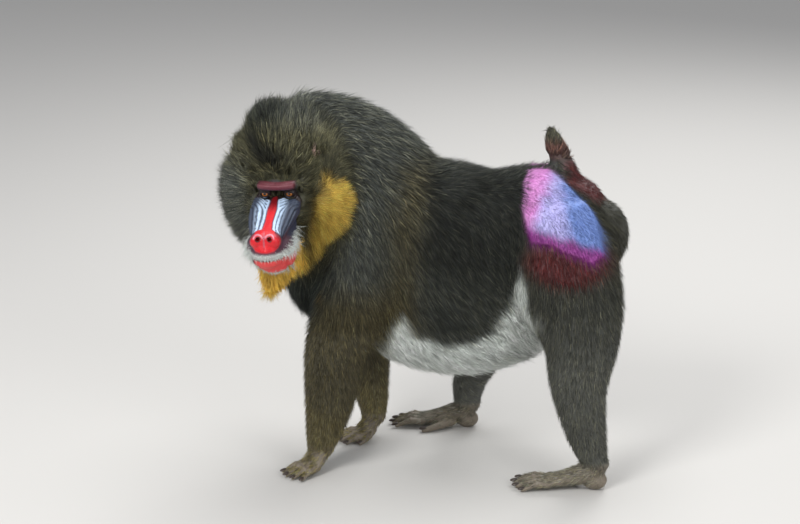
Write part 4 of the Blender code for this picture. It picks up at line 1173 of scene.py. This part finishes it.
def painted(name, roughness, coarse, fine, amount=0.5, bump=0.0, specular=0.5, coat=0.0, gloss=None):
    """A material that takes its colour from the points' own paint, varied by the mottle group."""
    made = bpy.data.materials.new(name)
    made.use_nodes = True
    nodes, link = made.node_tree.nodes, made.node_tree.links.new
    shader = nodes["Principled BSDF"]
    paint = nodes.new("ShaderNodeAttribute")
    paint.attribute_name = "paint"
    mottle = nodes.new("ShaderNodeGroup")
    mottle.node_tree = mottle_group()
    mottle.inputs["Coarse Scale"].default_value = coarse
    mottle.inputs["Fine Scale"].default_value = fine
    mottle.inputs["Amount"].default_value = amount
    link(paint.outputs["Color"], mottle.inputs["Colour"])
    link(mottle.outputs["Colour"], shader.inputs["Base Color"])
    shader.inputs["Roughness"].default_value = roughness
    shader.inputs["Specular IOR Level"].default_value = specular
    shader.inputs["Coat Weight"].default_value = coat
    shader.inputs["Coat Roughness"].default_value = CLEAR_COAT_ROUGHNESS
    if gloss:
        value = nodes.new("ShaderNodeAttribute")
        value.attribute_name = gloss
        blend = nodes.new("ShaderNodeMapRange")
        blend.inputs["To Min"].default_value = roughness
        blend.inputs["To Max"].default_value = PAD_ROUGHNESS
        link(value.outputs["Fac"], blend.inputs["Value"])
        link(blend.outputs["Result"], shader.inputs["Roughness"])
    if bump:
        relief = nodes.new("ShaderNodeBump")
        relief.inputs["Distance"].default_value = bump
        link(mottle.outputs["Height"], relief.inputs["Height"])
        link(relief.outputs["Normal"], shader.inputs["Normal"])
    return made


def build_skin():
    """The whole skin: body, paws and head joined, drawn in under the coat and folded."""
    sizes = bpy.context.scene.mandrill_sizes
    skin = blended("skin", body_forms(), sizes.body_grain, 14)
    for maker, side, place, heading in paws():
        paw = blended("paw", maker(side, []), sizes.paw_grain, 3)
        paw.data.transform(paw_matrix(place, heading))
        boolean(skin, paw, "UNION")
    mane = mane_forms()
    for form in mane:
        form.data.transform(FACE.inverted() @ HEAD)
    head = blended("head", mane + face_forms(), sizes.head_grain, 5)
    head.data.transform(FACE)
    boolean(skin, head, "UNION")
    spots = Spots(points_of(skin.data))
    depth = coat_plan(spots)[:, 0]
    rise = face_relief(spots) * spots.bare_face - depth
    moved = spots.body + normals_of(skin.data) * rise[:, None]
    moved[:, 2] = np.maximum(moved[:, 2], 0.0)
    set_points(skin.data, moved)
    soften = skin.modifiers.new("soften", "SMOOTH")
    soften.factor = 0.3
    soften.iterations = 1
    apply_modifiers(skin)
    for sign in (-1, 1):
        place = FACE.to_3x3().to_4x4()
        for centre, halves, operation in (
            ((EYE_FORWARD, EYE_APART * sign, EYE_UP), (EYE_RADIUS + LID_THICK,) * 3, "UNION"),
            ((EYE_FORWARD, EYE_APART * sign, EYE_UP), (EYE_RADIUS + SOCKET_GAP,) * 3, "DIFFERENCE"),
            ((EYE_FORWARD + EYE_RADIUS, EYE_APART * sign, EYE_UP - 0.0005), LID_OPENING, "DIFFERENCE"),
            ((NOSE_FORWARD, NOSTRIL_APART * sign, NOSTRIL_UP), NOSTRIL_HALVES, "DIFFERENCE"),
        ):
            tilt = NOSTRIL_TILT if halves == NOSTRIL_HALVES else 0
            cutter = ellipsoid((0, 0, 0), halves, (0, tilt, 0))
            cutter.data.transform(Matrix.Translation(FACE @ Vector(centre)) @ place)
            boolean(skin, cutter, operation)
    floor_cut = mesh_of(lambda shape: bmesh.ops.create_cube(shape, size=2.0))
    floor_cut.data.transform(Matrix.Translation((0, 0, 1.0)))
    boolean(skin, floor_cut, "INTERSECT")
    return skin


def paint_skin(skin):
    """Colours the skin: the coat's markings, painted shade under the hair, and on its bare part the face's
    own.
    """
    spots = Spots(points_of(skin.data))
    plan = coat_plan(spots)
    coat = marks(spots)
    c = colours()
    # Under the hair the skin is painted darker than the coat, as painted shade; the bare rump patch keeps
    # its colour
    shade = laid_in_turn(coat * SHADE_UNDER_HAIR, (
        (spots.rump, coat),
        (spots.paws, np.array(c.paw_skin) * 0.75),
        (step(spots.body[:, 2], 0.042, 0.022), c.paw_skin),
    ))
    shade = laid(shade, spots.bare_face, face_marks(shade, spots))
    set_colour(skin.data, "paint", np.clip(shade, 0, 1))
    gloss = np.maximum(spots.pad, spots.eyes * 0.5) * step(plan[:, 0], 0.004, 0.001)
    set_number(skin.data, "gloss", gloss)


def comb(spots, normals):
    """The direction of the hair at each place, along the skin."""
    total = np.zeros_like(spots.body)
    for rows, places, reach, to_body in (
        (BODY_COMB, spots.body, COMB_REACH, np.eye(3)),
        (HEAD_COMB, spots.head, HEAD_COMB_REACH, np.array(HEAD.to_3x3()).T),
    ):
        field = np.zeros_like(total)
        weights = np.zeros(len(total))
        for place, lie in rows:
            for sign in (-1.0, 1.0):
                mirrored = np.array(place) * (1, sign, 1)
                weight = np.exp(-((places - mirrored) ** 2).sum(axis=1) / (2 * reach**2)) + TINY
                field += weight[:, None] * (np.array(lie) * (1, sign, 1) / np.linalg.norm(lie))
                weights += weight
        field = (field / weights[:, None]) @ to_body
        total = field if rows is BODY_COMB else laid(total, spots.on_head, field)
    total = laid(total, spots.tail, TAIL_LIE)
    heading = np.zeros_like(total)
    for side in SIDE_OF:
        for place, angle in (HANDS[side], FEET[side]):
            near = np.hypot(spots.body[:, 0] - place[0], spots.body[:, 1] - place[1]) < PAW_REACH
            aim = (math.cos(math.radians(angle)), math.sin(math.radians(angle)), PAW_LIE_DROP)
            close = near & (spots.body[:, 1] * SIDE_OF[side] > 0)
            heading[close] = aim
    total = laid(total, spots.paws * (np.abs(heading).sum(axis=1) > 0), heading)
    total -= (total * normals).sum(axis=1)[:, None] * normals
    return total / np.maximum(np.linalg.norm(total, axis=1), TINY)[:, None]


class SkinSampler:
    """The finished skin in the maker's own axes, and seeded roots spread over it."""

    def __init__(self, skin):
        mesh = skin.data
        mesh.calc_loop_triangles()
        points = points_of(mesh)
        points -= np.array(SHIFT)
        normals = normals_of(mesh)
        corners = np.empty(len(mesh.loop_triangles) * 3, np.int32)
        mesh.loop_triangles.foreach_get("vertices", corners)
        self.corners = corners.reshape(-1, 3)
        self.points, self.normals = points, normals
        a, b, c = (points[self.corners[:, k]] for k in range(3))
        self.area = np.linalg.norm(np.cross(b - a, c - a), axis=1) / 2
        self.middle = (a + b + c) / 3
        self.spots = Spots(self.middle)
        self.density = coat_plan(self.spots)[:, 3]
        self.tree = BVHTree.FromPolygons(points.tolist(), self.corners.tolist())

    def roots(self, weight, count, rng):
        """As many places and normals as count says, spread by area times the weight of each triangle."""
        sums = np.cumsum(self.area * weight)
        picks = np.searchsorted(sums, (np.arange(count) + rng.random(count)) / count * sums[-1])
        picks = np.minimum(picks, len(sums) - 1)
        first, second = rng.random(count), rng.random(count)
        flip = first + second > 1
        first[flip], second[flip] = 1 - first[flip], 1 - second[flip]
        shares = np.c_[1 - first - second, first, second]
        spots = np.einsum("nk,nkc->nc", shares, self.points[self.corners[picks]])
        normals = np.einsum("nk,nkc->nc", shares, self.normals[self.corners[picks]])
        return spots, normals / np.linalg.norm(normals, axis=1)[:, None]


def guide_paths(tree, roots, normals, lie, length, depth, rings):
    """Each guide hair's points, root to tip, bent round the skin and rising to the coat's depth."""
    paths = np.zeros((len(roots), rings + 1, 3))
    for i in range(len(roots)):
        spot, normal, heading = Vector(roots[i]), Vector(normals[i]), Vector(lie[i])
        paths[i, 0] = spot
        for k in range(1, rings + 1):
            aim = spot + heading * (length[i] / rings)
            near, skin_normal, _, _ = tree.find_nearest(aim)
            if skin_normal.dot(normal) < LEAST_BEND:
                near, skin_normal = near.lerp(aim, 0.5), normal.lerp(skin_normal, 0.3).normalized()
            spot, normal = near, skin_normal
            bent = heading - heading.dot(normal) * normal
            heading = bent.normalized() if bent.length > 1e-6 else heading
            rise = depth[i] * (k / rings) ** 0.7
            paths[i, k] = spot + normal * rise
    return paths


def flat_uv(points, spots):
    """Each place on an unwrap of the skin, in strips round the trunk, the head and each limb."""
    x, y, z = points.T
    around = np.arctan2(y, z - 0.42) / (2 * math.pi) + 0.5
    sheet = np.c_[UV_LOW + UV_SHEET * around, UV_LOW + UV_SHEET * (x + 0.30) / 0.75]
    u, v, w = spots.head.T
    turn = np.arctan2(v, w + 0.0005) / (2 * math.pi) + 0.5
    head = np.c_[UV_HIGH + UV_SHEET * turn, UV_LOW + UV_SHEET * np.clip((u + 0.12) / 0.36, 0, 1)]
    sheet = np.where(spots.on_head[:, None] > 0.5, head, sheet)
    limbs = [(ARMS[side], side, spots.arms) for side in SIDE_OF]
    limbs += [(LEGS[side], side, spots.legs) for side in SIDE_OF]
    for strip, (stations, side, mask) in enumerate(limbs):
        rows = np.array([centre for centre, _, _ in stations])[::-1]
        middle = np.c_[np.interp(z, rows[:, 2], rows[:, 0]), np.interp(z, rows[:, 2], rows[:, 1])]
        angle = np.arctan2(y - middle[:, 1], x - middle[:, 0]) / (2 * math.pi) + 0.5
        up = UV_HIGH + UV_SHEET * np.clip(z / LIMB_TOP, 0, 1)
        strip_uv = np.c_[UV_LOW + 0.24 * strip + 0.22 * angle, up]
        limb = (z < 0.33) & (y * SIDE_OF[side] > 0) & (np.hypot(*(np.c_[x, y] - middle).T) < 0.16)
        sheet = np.where((limb & (mask > 0.4))[:, None], strip_uv, sheet)
    return sheet


def tuft_mesh(name, paths, normals, width, root_colour, tip_colour, unwrap, rings):
    """Joined closed tufts: three-sided sections along each path, tapering to a point."""
    count = len(paths)
    per = rings * 3 + 1
    shares, places = TUFT_SHAPE[rings]
    points = np.empty((count, per, 3))
    paint = np.empty((count, per, 3))
    flat = np.empty((count, per, 2))
    for k in range(rings):
        along = paths[:, k + 1] - paths[:, k]
        along /= np.maximum(np.linalg.norm(along, axis=1), TINY)[:, None]
        side = np.cross(along, normals)
        side /= np.maximum(np.linalg.norm(side, axis=1), TINY)[:, None]
        up = np.cross(side, along)
        half = (width * shares[k] / 2)[:, None]
        middle = paths[:, k] - (normals * ROOT_SINK if k == 0 else 0)
        points[:, 3 * k] = middle + side * half - up * half * 0.25
        points[:, 3 * k + 1] = middle - side * half - up * half * 0.25
        points[:, 3 * k + 2] = middle + up * half * 0.55
        for corner, across in enumerate((0.5, -0.5, 0.0)):
            paint[:, 3 * k + corner] = root_colour + (tip_colour - root_colour) * places[k]
            flat[:, 3 * k + corner] = unwrap + UV_PATCH * np.array((across, places[k]))
    points[:, -1] = paths[:, rings]
    paint[:, -1] = tip_colour
    flat[:, -1] = unwrap + UV_PATCH * np.array((0.0, 1.0))
    faces = [(0, 1, 2)]
    for k in range(rings - 1):
        for a, b in ((0, 1), (1, 2), (2, 0)):
            a, b, c, d = 3 * k + a, 3 * k + b, 3 * k + 3 + b, 3 * k + 3 + a
            faces += [(b, a, d), (b, d, c)]
    last = 3 * (rings - 1)
    faces += [(last + b, last + a, per - 1) for a, b in ((0, 1), (1, 2), (2, 0))]
    index = (np.array(faces)[None] + (np.arange(count) * per)[:, None, None]).reshape(-1, 3)
    mesh = bpy.data.meshes.new(name)
    mesh.vertices.add(count * per)
    mesh.vertices.foreach_set("co", points.astype(np.float32).ravel())
    mesh.loops.add(index.size)
    mesh.loops.foreach_set("vertex_index", index.astype(np.int32).ravel())
    mesh.polygons.add(len(index))
    mesh.polygons.foreach_set("loop_start", (np.arange(len(index)) * 3).astype(np.int32))
    mesh.update(calc_edges=True)
    mesh.shade_smooth()
    layer = mesh.uv_layers.new(name="OFBake")
    flat = flat.reshape(-1, 2)
    layer.uv.foreach_set("vector", flat[index.ravel()].astype(np.float32).ravel())
    set_colour(mesh, "paint", np.clip(paint.reshape(-1, 3), 0, 1))
    return new_object(name, mesh)


def grizzle(shade, spots, rng):
    """Each tuft's own shade at its root and its tip: agouti banding, with some pale and some dark hairs."""
    count = len(shade)
    level = np.exp(rng.normal(0.0, 0.45, count))[:, None]
    kind = rng.random(count)[:, None]
    plain = np.maximum.reduce([spots.belly, spots.rump, spots.beard])[:, None]
    plain = np.maximum(plain, 0.55 * spots.gold[:, None])
    speckled = np.where(kind < 0.30, shade * 0.35, np.where(kind > 0.80, shade * (2.4, 2.25, 1.8), shade))
    tips = speckled * level * (1 - plain) + shade * (1.0 + 0.35 * (level - 1)) * plain
    broad = 1 + 0.12 * wobble(spots.body, 0.030, 9.0)[:, None]
    broad = broad + 0.36 * wobble(spots.body, 0.0038, 4.0)[:, None]
    roots = shade * (0.50 * (1 - plain) + 0.75 * plain)
    return roots * broad, tips * broad


def grow(name, sampler, mask, count, rings, slot, seed):
    """One piece of the coat over the part of the skin that the mask picks, drawn together in clumps."""
    sizes = bpy.context.scene.mandrill_sizes
    rng = np.random.default_rng(COAT_SEED + seed)
    count = max(int(count * sizes.tuft_share), 50)
    roots, normals = sampler.roots(mask * sampler.density, count, rng)
    spots = Spots(roots)
    plan = coat_plan(spots)
    lie = comb(spots, normals)
    length = plan[:, 1] * rng.uniform(0.72, 1.22, count)
    depth = plan[:, 0] * rng.uniform(0.75, 1.10, count)
    guides = np.arange(0, count, TUFTS_PER_GUIDE)
    paths = guide_paths(
        sampler.tree, roots[guides], normals[guides], lie[guides], length[guides], depth[guides], rings
    )
    tree = KDTree(len(guides))
    for i, guide in enumerate(guides):
        tree.insert(roots[guide], i)
    tree.balance()
    nearest = np.array([tree.find(root)[1] for root in roots])
    own = paths[nearest] - paths[nearest, :1]
    own *= (length / length[guides][nearest])[:, None, None]
    own += roots[:, None]
    side = np.cross(lie, normals)
    sway = rng.normal(0.0, 0.17, (count, 1)) * length[:, None]
    lift = rng.normal(0.0, 0.20, (count, 1)) * depth[:, None]
    for k in range(1, rings + 1):
        share = k / rings
        pull = sizes.clumping * share**1.5
        own[:, k] = own[:, k] * (1 - pull) + paths[nearest, k] * pull
        own[:, k] += (side * sway + normals * lift) * share**1.5
    own[:, :, 2] = np.maximum(own[:, :, 2], FLOOR_GAP)
    root_colour, tip_colour = grizzle(marks(spots), spots, rng)
    width = plan[:, 2] * sizes.tuft_width * rng.uniform(0.75, 1.3, count)
    unwrap = flat_uv(roots, spots)
    piece = tuft_mesh(name, own, normals, width, root_colour, tip_colour, unwrap, rings)
    material = bpy.data.materials.get("hair") or painted(
        "hair", 0.70, coarse=60.0, fine=900.0, amount=0.5, specular=0.22
    )
    place_piece(piece, material, slot)


class MANDRILL_OT_camera(bpy.types.Operator):
    """Sets up the camera that looks at the animal's left side from a little above"""

    bl_idname = "mandrill.camera"
    bl_label = "Camera"

    def execute(self, context):
        look = LOOK_AT + SHIFT
        back = Vector((
            math.sin(CAMERA_AZIMUTH) * math.cos(CAMERA_HEIGHT),
            -math.cos(CAMERA_AZIMUTH) * math.cos(CAMERA_HEIGHT),
            math.sin(CAMERA_HEIGHT),
        ))
        data = bpy.data.cameras.new("view")
        data.lens = CAMERA_LENS
        data.sensor_width = CAMERA_SENSOR
        data.clip_end = 100.0
        camera = new_object("view", data)
        camera.location = look + back * CAMERA_DISTANCE
        camera.rotation_euler = (-back).to_track_quat("-Z", "Y").to_euler()
        context.scene.camera = camera
        return {"FINISHED"}


class MANDRILL_OT_stage(bpy.types.Operator):
    """Lays the plain pale floor and hangs the soft studio lights"""

    bl_idname = "mandrill.stage"
    bl_label = "Stage"

    def execute(self, context):
        floor = mesh_of(
            lambda shape: bmesh.ops.create_grid(shape, x_segments=1, y_segments=1, size=FLOOR_SIZE), "floor"
        )
        pale = bpy.data.materials.new("studio_floor")
        pale.use_nodes = True
        shader = pale.node_tree.nodes["Principled BSDF"]
        shader.inputs["Base Color"].default_value = (*context.scene.mandrill_colours.floor, 1.0)
        shader.inputs["Roughness"].default_value = 0.75
        shader.inputs["Specular IOR Level"].default_value = 0.2
        floor.data.materials.append(pale)
        target = LIGHTS_AIM + SHIFT
        for name, place, size, power in LIGHTS:
            data = bpy.data.lights.new(name, "AREA")
            data.shape = "DISK"
            data.size = size
            data.energy = power
            light = new_object(name, data)
            light.location = target + Vector(place)
            light.rotation_euler = (-Vector(place)).to_track_quat("-Z", "Y").to_euler()
        world = bpy.data.worlds.new("studio")
        world.use_nodes = True
        world.node_tree.nodes["Background"].inputs["Color"].default_value = SKY_COLOUR
        world.node_tree.nodes["Background"].inputs["Strength"].default_value = SKY_STRENGTH
        context.scene.world = world
        context.scene.view_settings.view_transform = "Standard"
        return {"FINISHED"}


class MANDRILL_OT_skin(bpy.types.Operator):
    """Builds the one skin of body, head, hands and feet, with its folds, sockets and markings"""

    bl_idname = "mandrill.skin"
    bl_label = "Skin"

    def execute(self, context):
        skin = build_skin()
        paint_skin(skin)
        skin.name = skin.data.name = "skin"
        skin.data.shade_smooth()
        hide = painted("hide", 0.52, coarse=45.0, fine=520.0, amount=0.55, bump=0.0008, gloss="gloss")
        nodes = [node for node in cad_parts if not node.startswith(("eye_", "ear_"))]
        place_piece(skin, hide, "face_skin", nodes)
        return {"FINISHED"}


class MANDRILL_OT_ears(bpy.types.Operator):
    """Builds both cupped ears"""

    bl_idname = "mandrill.ears"
    bl_label = "Ears"

    def execute(self, context):
        material = painted("ear_skin", 0.5, coarse=80.0, fine=600.0, amount=0.5, bump=0.0006)
        for side in SIDE_OF:
            ear = cupped_ear(side)
            shade = np.tile(np.array(context.scene.mandrill_colours.ear), (len(ear.data.vertices), 1))
            finish_piece(ear, "ear_skin_" + side, shade, material, "skin_pink", ["ear_" + side])
        return {"FINISHED"}


class MANDRILL_OT_eyes(bpy.types.Operator):
    """Builds both eyeballs with amber irises and dark pupils"""

    bl_idname = "mandrill.eyes"
    bl_label = "Eyes"

    def execute(self, context):
        c = context.scene.mandrill_colours
        wet = painted("wet_eye", 0.10, coarse=300.0, fine=1500.0, amount=0.5, coat=1.0)
        for side in SIDE_OF:
            sign = -SIDE_OF[side]
            ball = ellipsoid((0, 0, 0), (EYE_RADIUS,) * 3, (0, 90, 0), 64)
            points = points_of(ball.data)
            out = np.degrees(np.arccos(np.clip(points[:, 0] / EYE_RADIUS, -1, 1)))
            spokes = np.arctan2(points[:, 1], points[:, 2])
            iris = np.array(c.amber) * (0.8 + 0.2 * np.cos(IRIS_SPOKES * spokes))[:, None]
            shade = laid_in_turn(iris, (
                (step(out, *IRIS_RIM), np.array(c.amber) * 0.25),
                (step(out, *IRIS_EDGE), np.array(c.eye_skin) * 1.5),
                (step(out, *PUPIL_EDGE), PUPIL_COLOUR),
            ))
            ball.data.transform(FACE @ Matrix.Translation((EYE_FORWARD, EYE_APART * sign, EYE_UP)))
            finish_piece(ball, "eyeball_" + side, shade, wet, "eye", ["eye_" + side])
        return {"FINISHED"}


class MANDRILL_OT_nails(bpy.types.Operator):
    """Builds the twenty curved nails of the hands and feet"""

    bl_idname = "mandrill.nails"
    bl_label = "Nails"

    def execute(self, context):
        horn = painted("nail_horn", 0.32, coarse=200.0, fine=900.0, amount=0.6, bump=0.0003)
        for number, (place, size) in enumerate(nail_places(), 1):
            nail = ellipsoid((0, 0, 0), (size * 1.05, size * 0.66, size * 0.34), (0, 14, 0), 20)
            points = points_of(nail.data)
            points[:, 2] -= (points[:, 1] / size) ** 2 * size * 0.5
            set_points(nail.data, points)
            shade = np.array(context.scene.mandrill_colours.nail)
            tone = 0.8 + 0.5 * step(points[:, 0], -size, size)
            nail.data.transform(place)
            finish_piece(nail, f"nail_{number:02d}", shade * tone[:, None], horn, "paw_skin")
        return {"FINISHED"}


def head_masks(spots):
    """The coat pieces of the head, each with its mask, tufts, sections and finish."""
    on_head = spots.on_head * (spots.on_head > 0.5) * (1 - spots.bare_face)
    left = spots.head[:, 1] > 0
    beard = spots.beard > 0.5
    crest = (spots.crest > 0.5) & ~beard
    ruff = (spots.ruff > 0.5) & ~crest & ~beard
    rest = ~crest & ~ruff & ~beard
    return (
        ("coat_crest", on_head * crest, 13500, 2, "coat_dark"),
        ("coat_ruff_left", on_head * (ruff & left), 23000, 1, "coat_olive"),
        ("coat_ruff_right", on_head * (ruff & ~left), 23000, 1, "coat_olive"),
        ("coat_brow_and_cheeks", on_head * rest, 36000, 1, "coat_olive"),
        ("coat_beard", on_head * beard, 5500, 3, "coat_yellow"),
    )


def body_masks(spots):
    """The coat pieces of the trunk and limbs, each with its mask, tufts, sections and finish."""
    x, _, z = spots.body.T
    body = spots.on_head <= 0.5
    paws = body & (z < 0.06)
    arms = body & (spots.arms > 0.5) & ~paws
    legs = body & (spots.legs > 0.5) & ~paws
    trunk = body & ~arms & ~legs & ~paws
    tail = trunk & (spots.tail > 0.5)
    belly = trunk & (spots.belly > 0.5)
    mantle = trunk & (spots.neck > 0.5) & ~belly
    chest = trunk & (x < -0.02) & ~mantle & ~belly
    rump = trunk & (x > 0.24) & ~belly & ~tail
    flank = trunk & ~tail & ~mantle & ~belly & ~chest & ~rump
    above_sole = step(z, 0.006, 0.016)
    return (
        ("coat_mantle", mantle, 16500, 2, "coat_dark"),
        ("coat_chest", chest, 26000, 1, "coat_dark"),
        ("coat_flanks", flank, 43000, 1, "coat_dark"),
        ("coat_rump", rump, 30000, 1, "coat_dark"),
        ("coat_belly", belly, 9500, 2, "coat_pale"),
        ("coat_arms", arms, 26000, 1, "coat_olive"),
        ("coat_legs", legs, 28000, 1, "coat_olive"),
        ("coat_paws", paws * above_sole, 12000, 1, "coat_olive"),
        ("coat_tail", tail, 3000, 2, "coat_dark"),
    )


def grow_all(rows_of, seed):
    """Grows every piece of the coat that rows_of lists for the places on the skin."""
    sampler = SkinSampler(bpy.data.objects["skin"])
    for i, (name, mask, count, rings, slot) in enumerate(rows_of(sampler.spots)):
        grow(name, sampler, mask.astype(float), count, rings, slot, seed + i)


class MANDRILL_OT_head_coat(bpy.types.Operator):
    """Grows the crest, ruff, brow, cheeks and beard"""

    bl_idname = "mandrill.head_coat"
    bl_label = "Head coat"

    def execute(self, context):
        grow_all(head_masks, HEAD_COAT_SEED)
        return {"FINISHED"}


class MANDRILL_OT_body_coat(bpy.types.Operator):
    """Grows the mantle, chest, flanks, rump, belly, limbs, paws and tail"""

    bl_idname = "mandrill.body_coat"
    bl_label = "Body coat"

    def execute(self, context):
        grow_all(body_masks, BODY_COAT_SEED)
        return {"FINISHED"}


def whisker_mask(spots):
    """The pale hairs round the mouth: on the upper lip, at its corners, and thinly round the chin."""
    u, _, w = spots.face.T
    upper = step(w, spots.line + 0.018, spots.line + 0.010) * step(w, spots.line + 0.001, spots.line + 0.003)
    upper *= step(u, 0.150, 0.180) * (1 - spots.pad)
    corner = step(spots.lip_side, 0.034, 0.038) * step(w, -0.088, -0.078) * step(w, -0.030, -0.038)
    corner = np.maximum(corner, step(spots.side, 0.026, 0.031) * step(w, spots.line, spots.line + 0.003))
    corner *= step(w, -0.030, -0.038)
    corner *= step(u, 0.105, 0.120) * step(u, 0.215, 0.200)
    rim = step(w, -0.078, -0.084) * step(u, 0.140, 0.160) * 0.7
    return np.clip(upper + corner + rim, 0, 1) * step(w, -0.105, -0.098) * step(spots.side, 0.064, 0.056)


class MANDRILL_OT_whiskers(bpy.types.Operator):
    """Grows the white whiskers round the mouth"""

    bl_idname = "mandrill.whiskers"
    bl_label = "Whiskers"

    def execute(self, context):
        sampler = SkinSampler(bpy.data.objects["skin"])
        rng = np.random.default_rng(COAT_SEED)
        roots, normals = sampler.roots(whisker_mask(sampler.spots), WHISKER_COUNT, rng)
        spots = Spots(roots)
        lie = comb(spots, normals)
        count = len(roots)
        length = (rng.uniform(0.004, 0.009, count) * (1 + 1.2 * step(spots.side, 0.022, 0.034)))[:, None]
        stray = rng.normal(0.0, 0.26, (count, 3))
        paths = np.empty((count, 3, 3))
        paths[:, 0] = roots
        paths[:, 1] = roots + (lie * 0.42 + normals * 0.26 + stray * 0.35) * length
        paths[:, 2] = roots + (lie * 0.92 + normals * 0.36 + stray) * length
        shade = np.tile(np.array(context.scene.mandrill_colours.white), (count, 1))
        shade *= rng.uniform(0.75, 1.0, count)[:, None]
        width = rng.uniform(0.0004, 0.0008, count)
        piece = tuft_mesh("whiskers", paths, normals, width, shade * 0.85, shade, flat_uv(roots, spots), 2)
        place_piece(piece, bpy.data.materials["hair"], "coat_pale")
        return {"FINISHED"}


class MANDRILL_PT_maker(bpy.types.Panel):
    """Lists the steps that build the mandrill"""

    bl_label = "Mandrill"
    bl_idname = "MANDRILL_PT_maker"
    bl_space_type = "VIEW_3D"
    bl_region_type = "UI"
    bl_category = "Mandrill"

    def draw(self, context):
        for name in ("body_grain", "head_grain", "paw_grain", "tuft_share", "tuft_width", "clumping"):
            self.layout.prop(context.scene.mandrill_sizes, name)
        for operator in STEPS:
            self.layout.operator(operator.bl_idname)


STEPS = (
    MANDRILL_OT_camera,
    MANDRILL_OT_stage,
    MANDRILL_OT_skin,
    MANDRILL_OT_eyes,
    MANDRILL_OT_ears,
    MANDRILL_OT_nails,
    MANDRILL_OT_head_coat,
    MANDRILL_OT_body_coat,
    MANDRILL_OT_whiskers,
)
CLASSES = (MandrillSizes, MandrillColours, *STEPS, MANDRILL_PT_maker)


def register():
    for made in CLASSES:
        bpy.utils.register_class(made)
    bpy.types.Scene.mandrill_sizes = bpy.props.PointerProperty(type=MandrillSizes)
    bpy.types.Scene.mandrill_colours = bpy.props.PointerProperty(type=MandrillColours)


def unregister():
    del bpy.types.Scene.mandrill_colours
    del bpy.types.Scene.mandrill_sizes
    for made in reversed(CLASSES):
        bpy.utils.unregister_class(made)


def main():
    """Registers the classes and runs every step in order."""
    register()
    bpy.ops.mandrill.camera()
    bpy.ops.mandrill.stage()
    bpy.ops.mandrill.skin()
    bpy.ops.mandrill.eyes()
    bpy.ops.mandrill.ears()
    bpy.ops.mandrill.nails()
    bpy.ops.mandrill.head_coat()
    bpy.ops.mandrill.body_coat()
    bpy.ops.mandrill.whiskers()


if __name__ == "__main__":
    main()
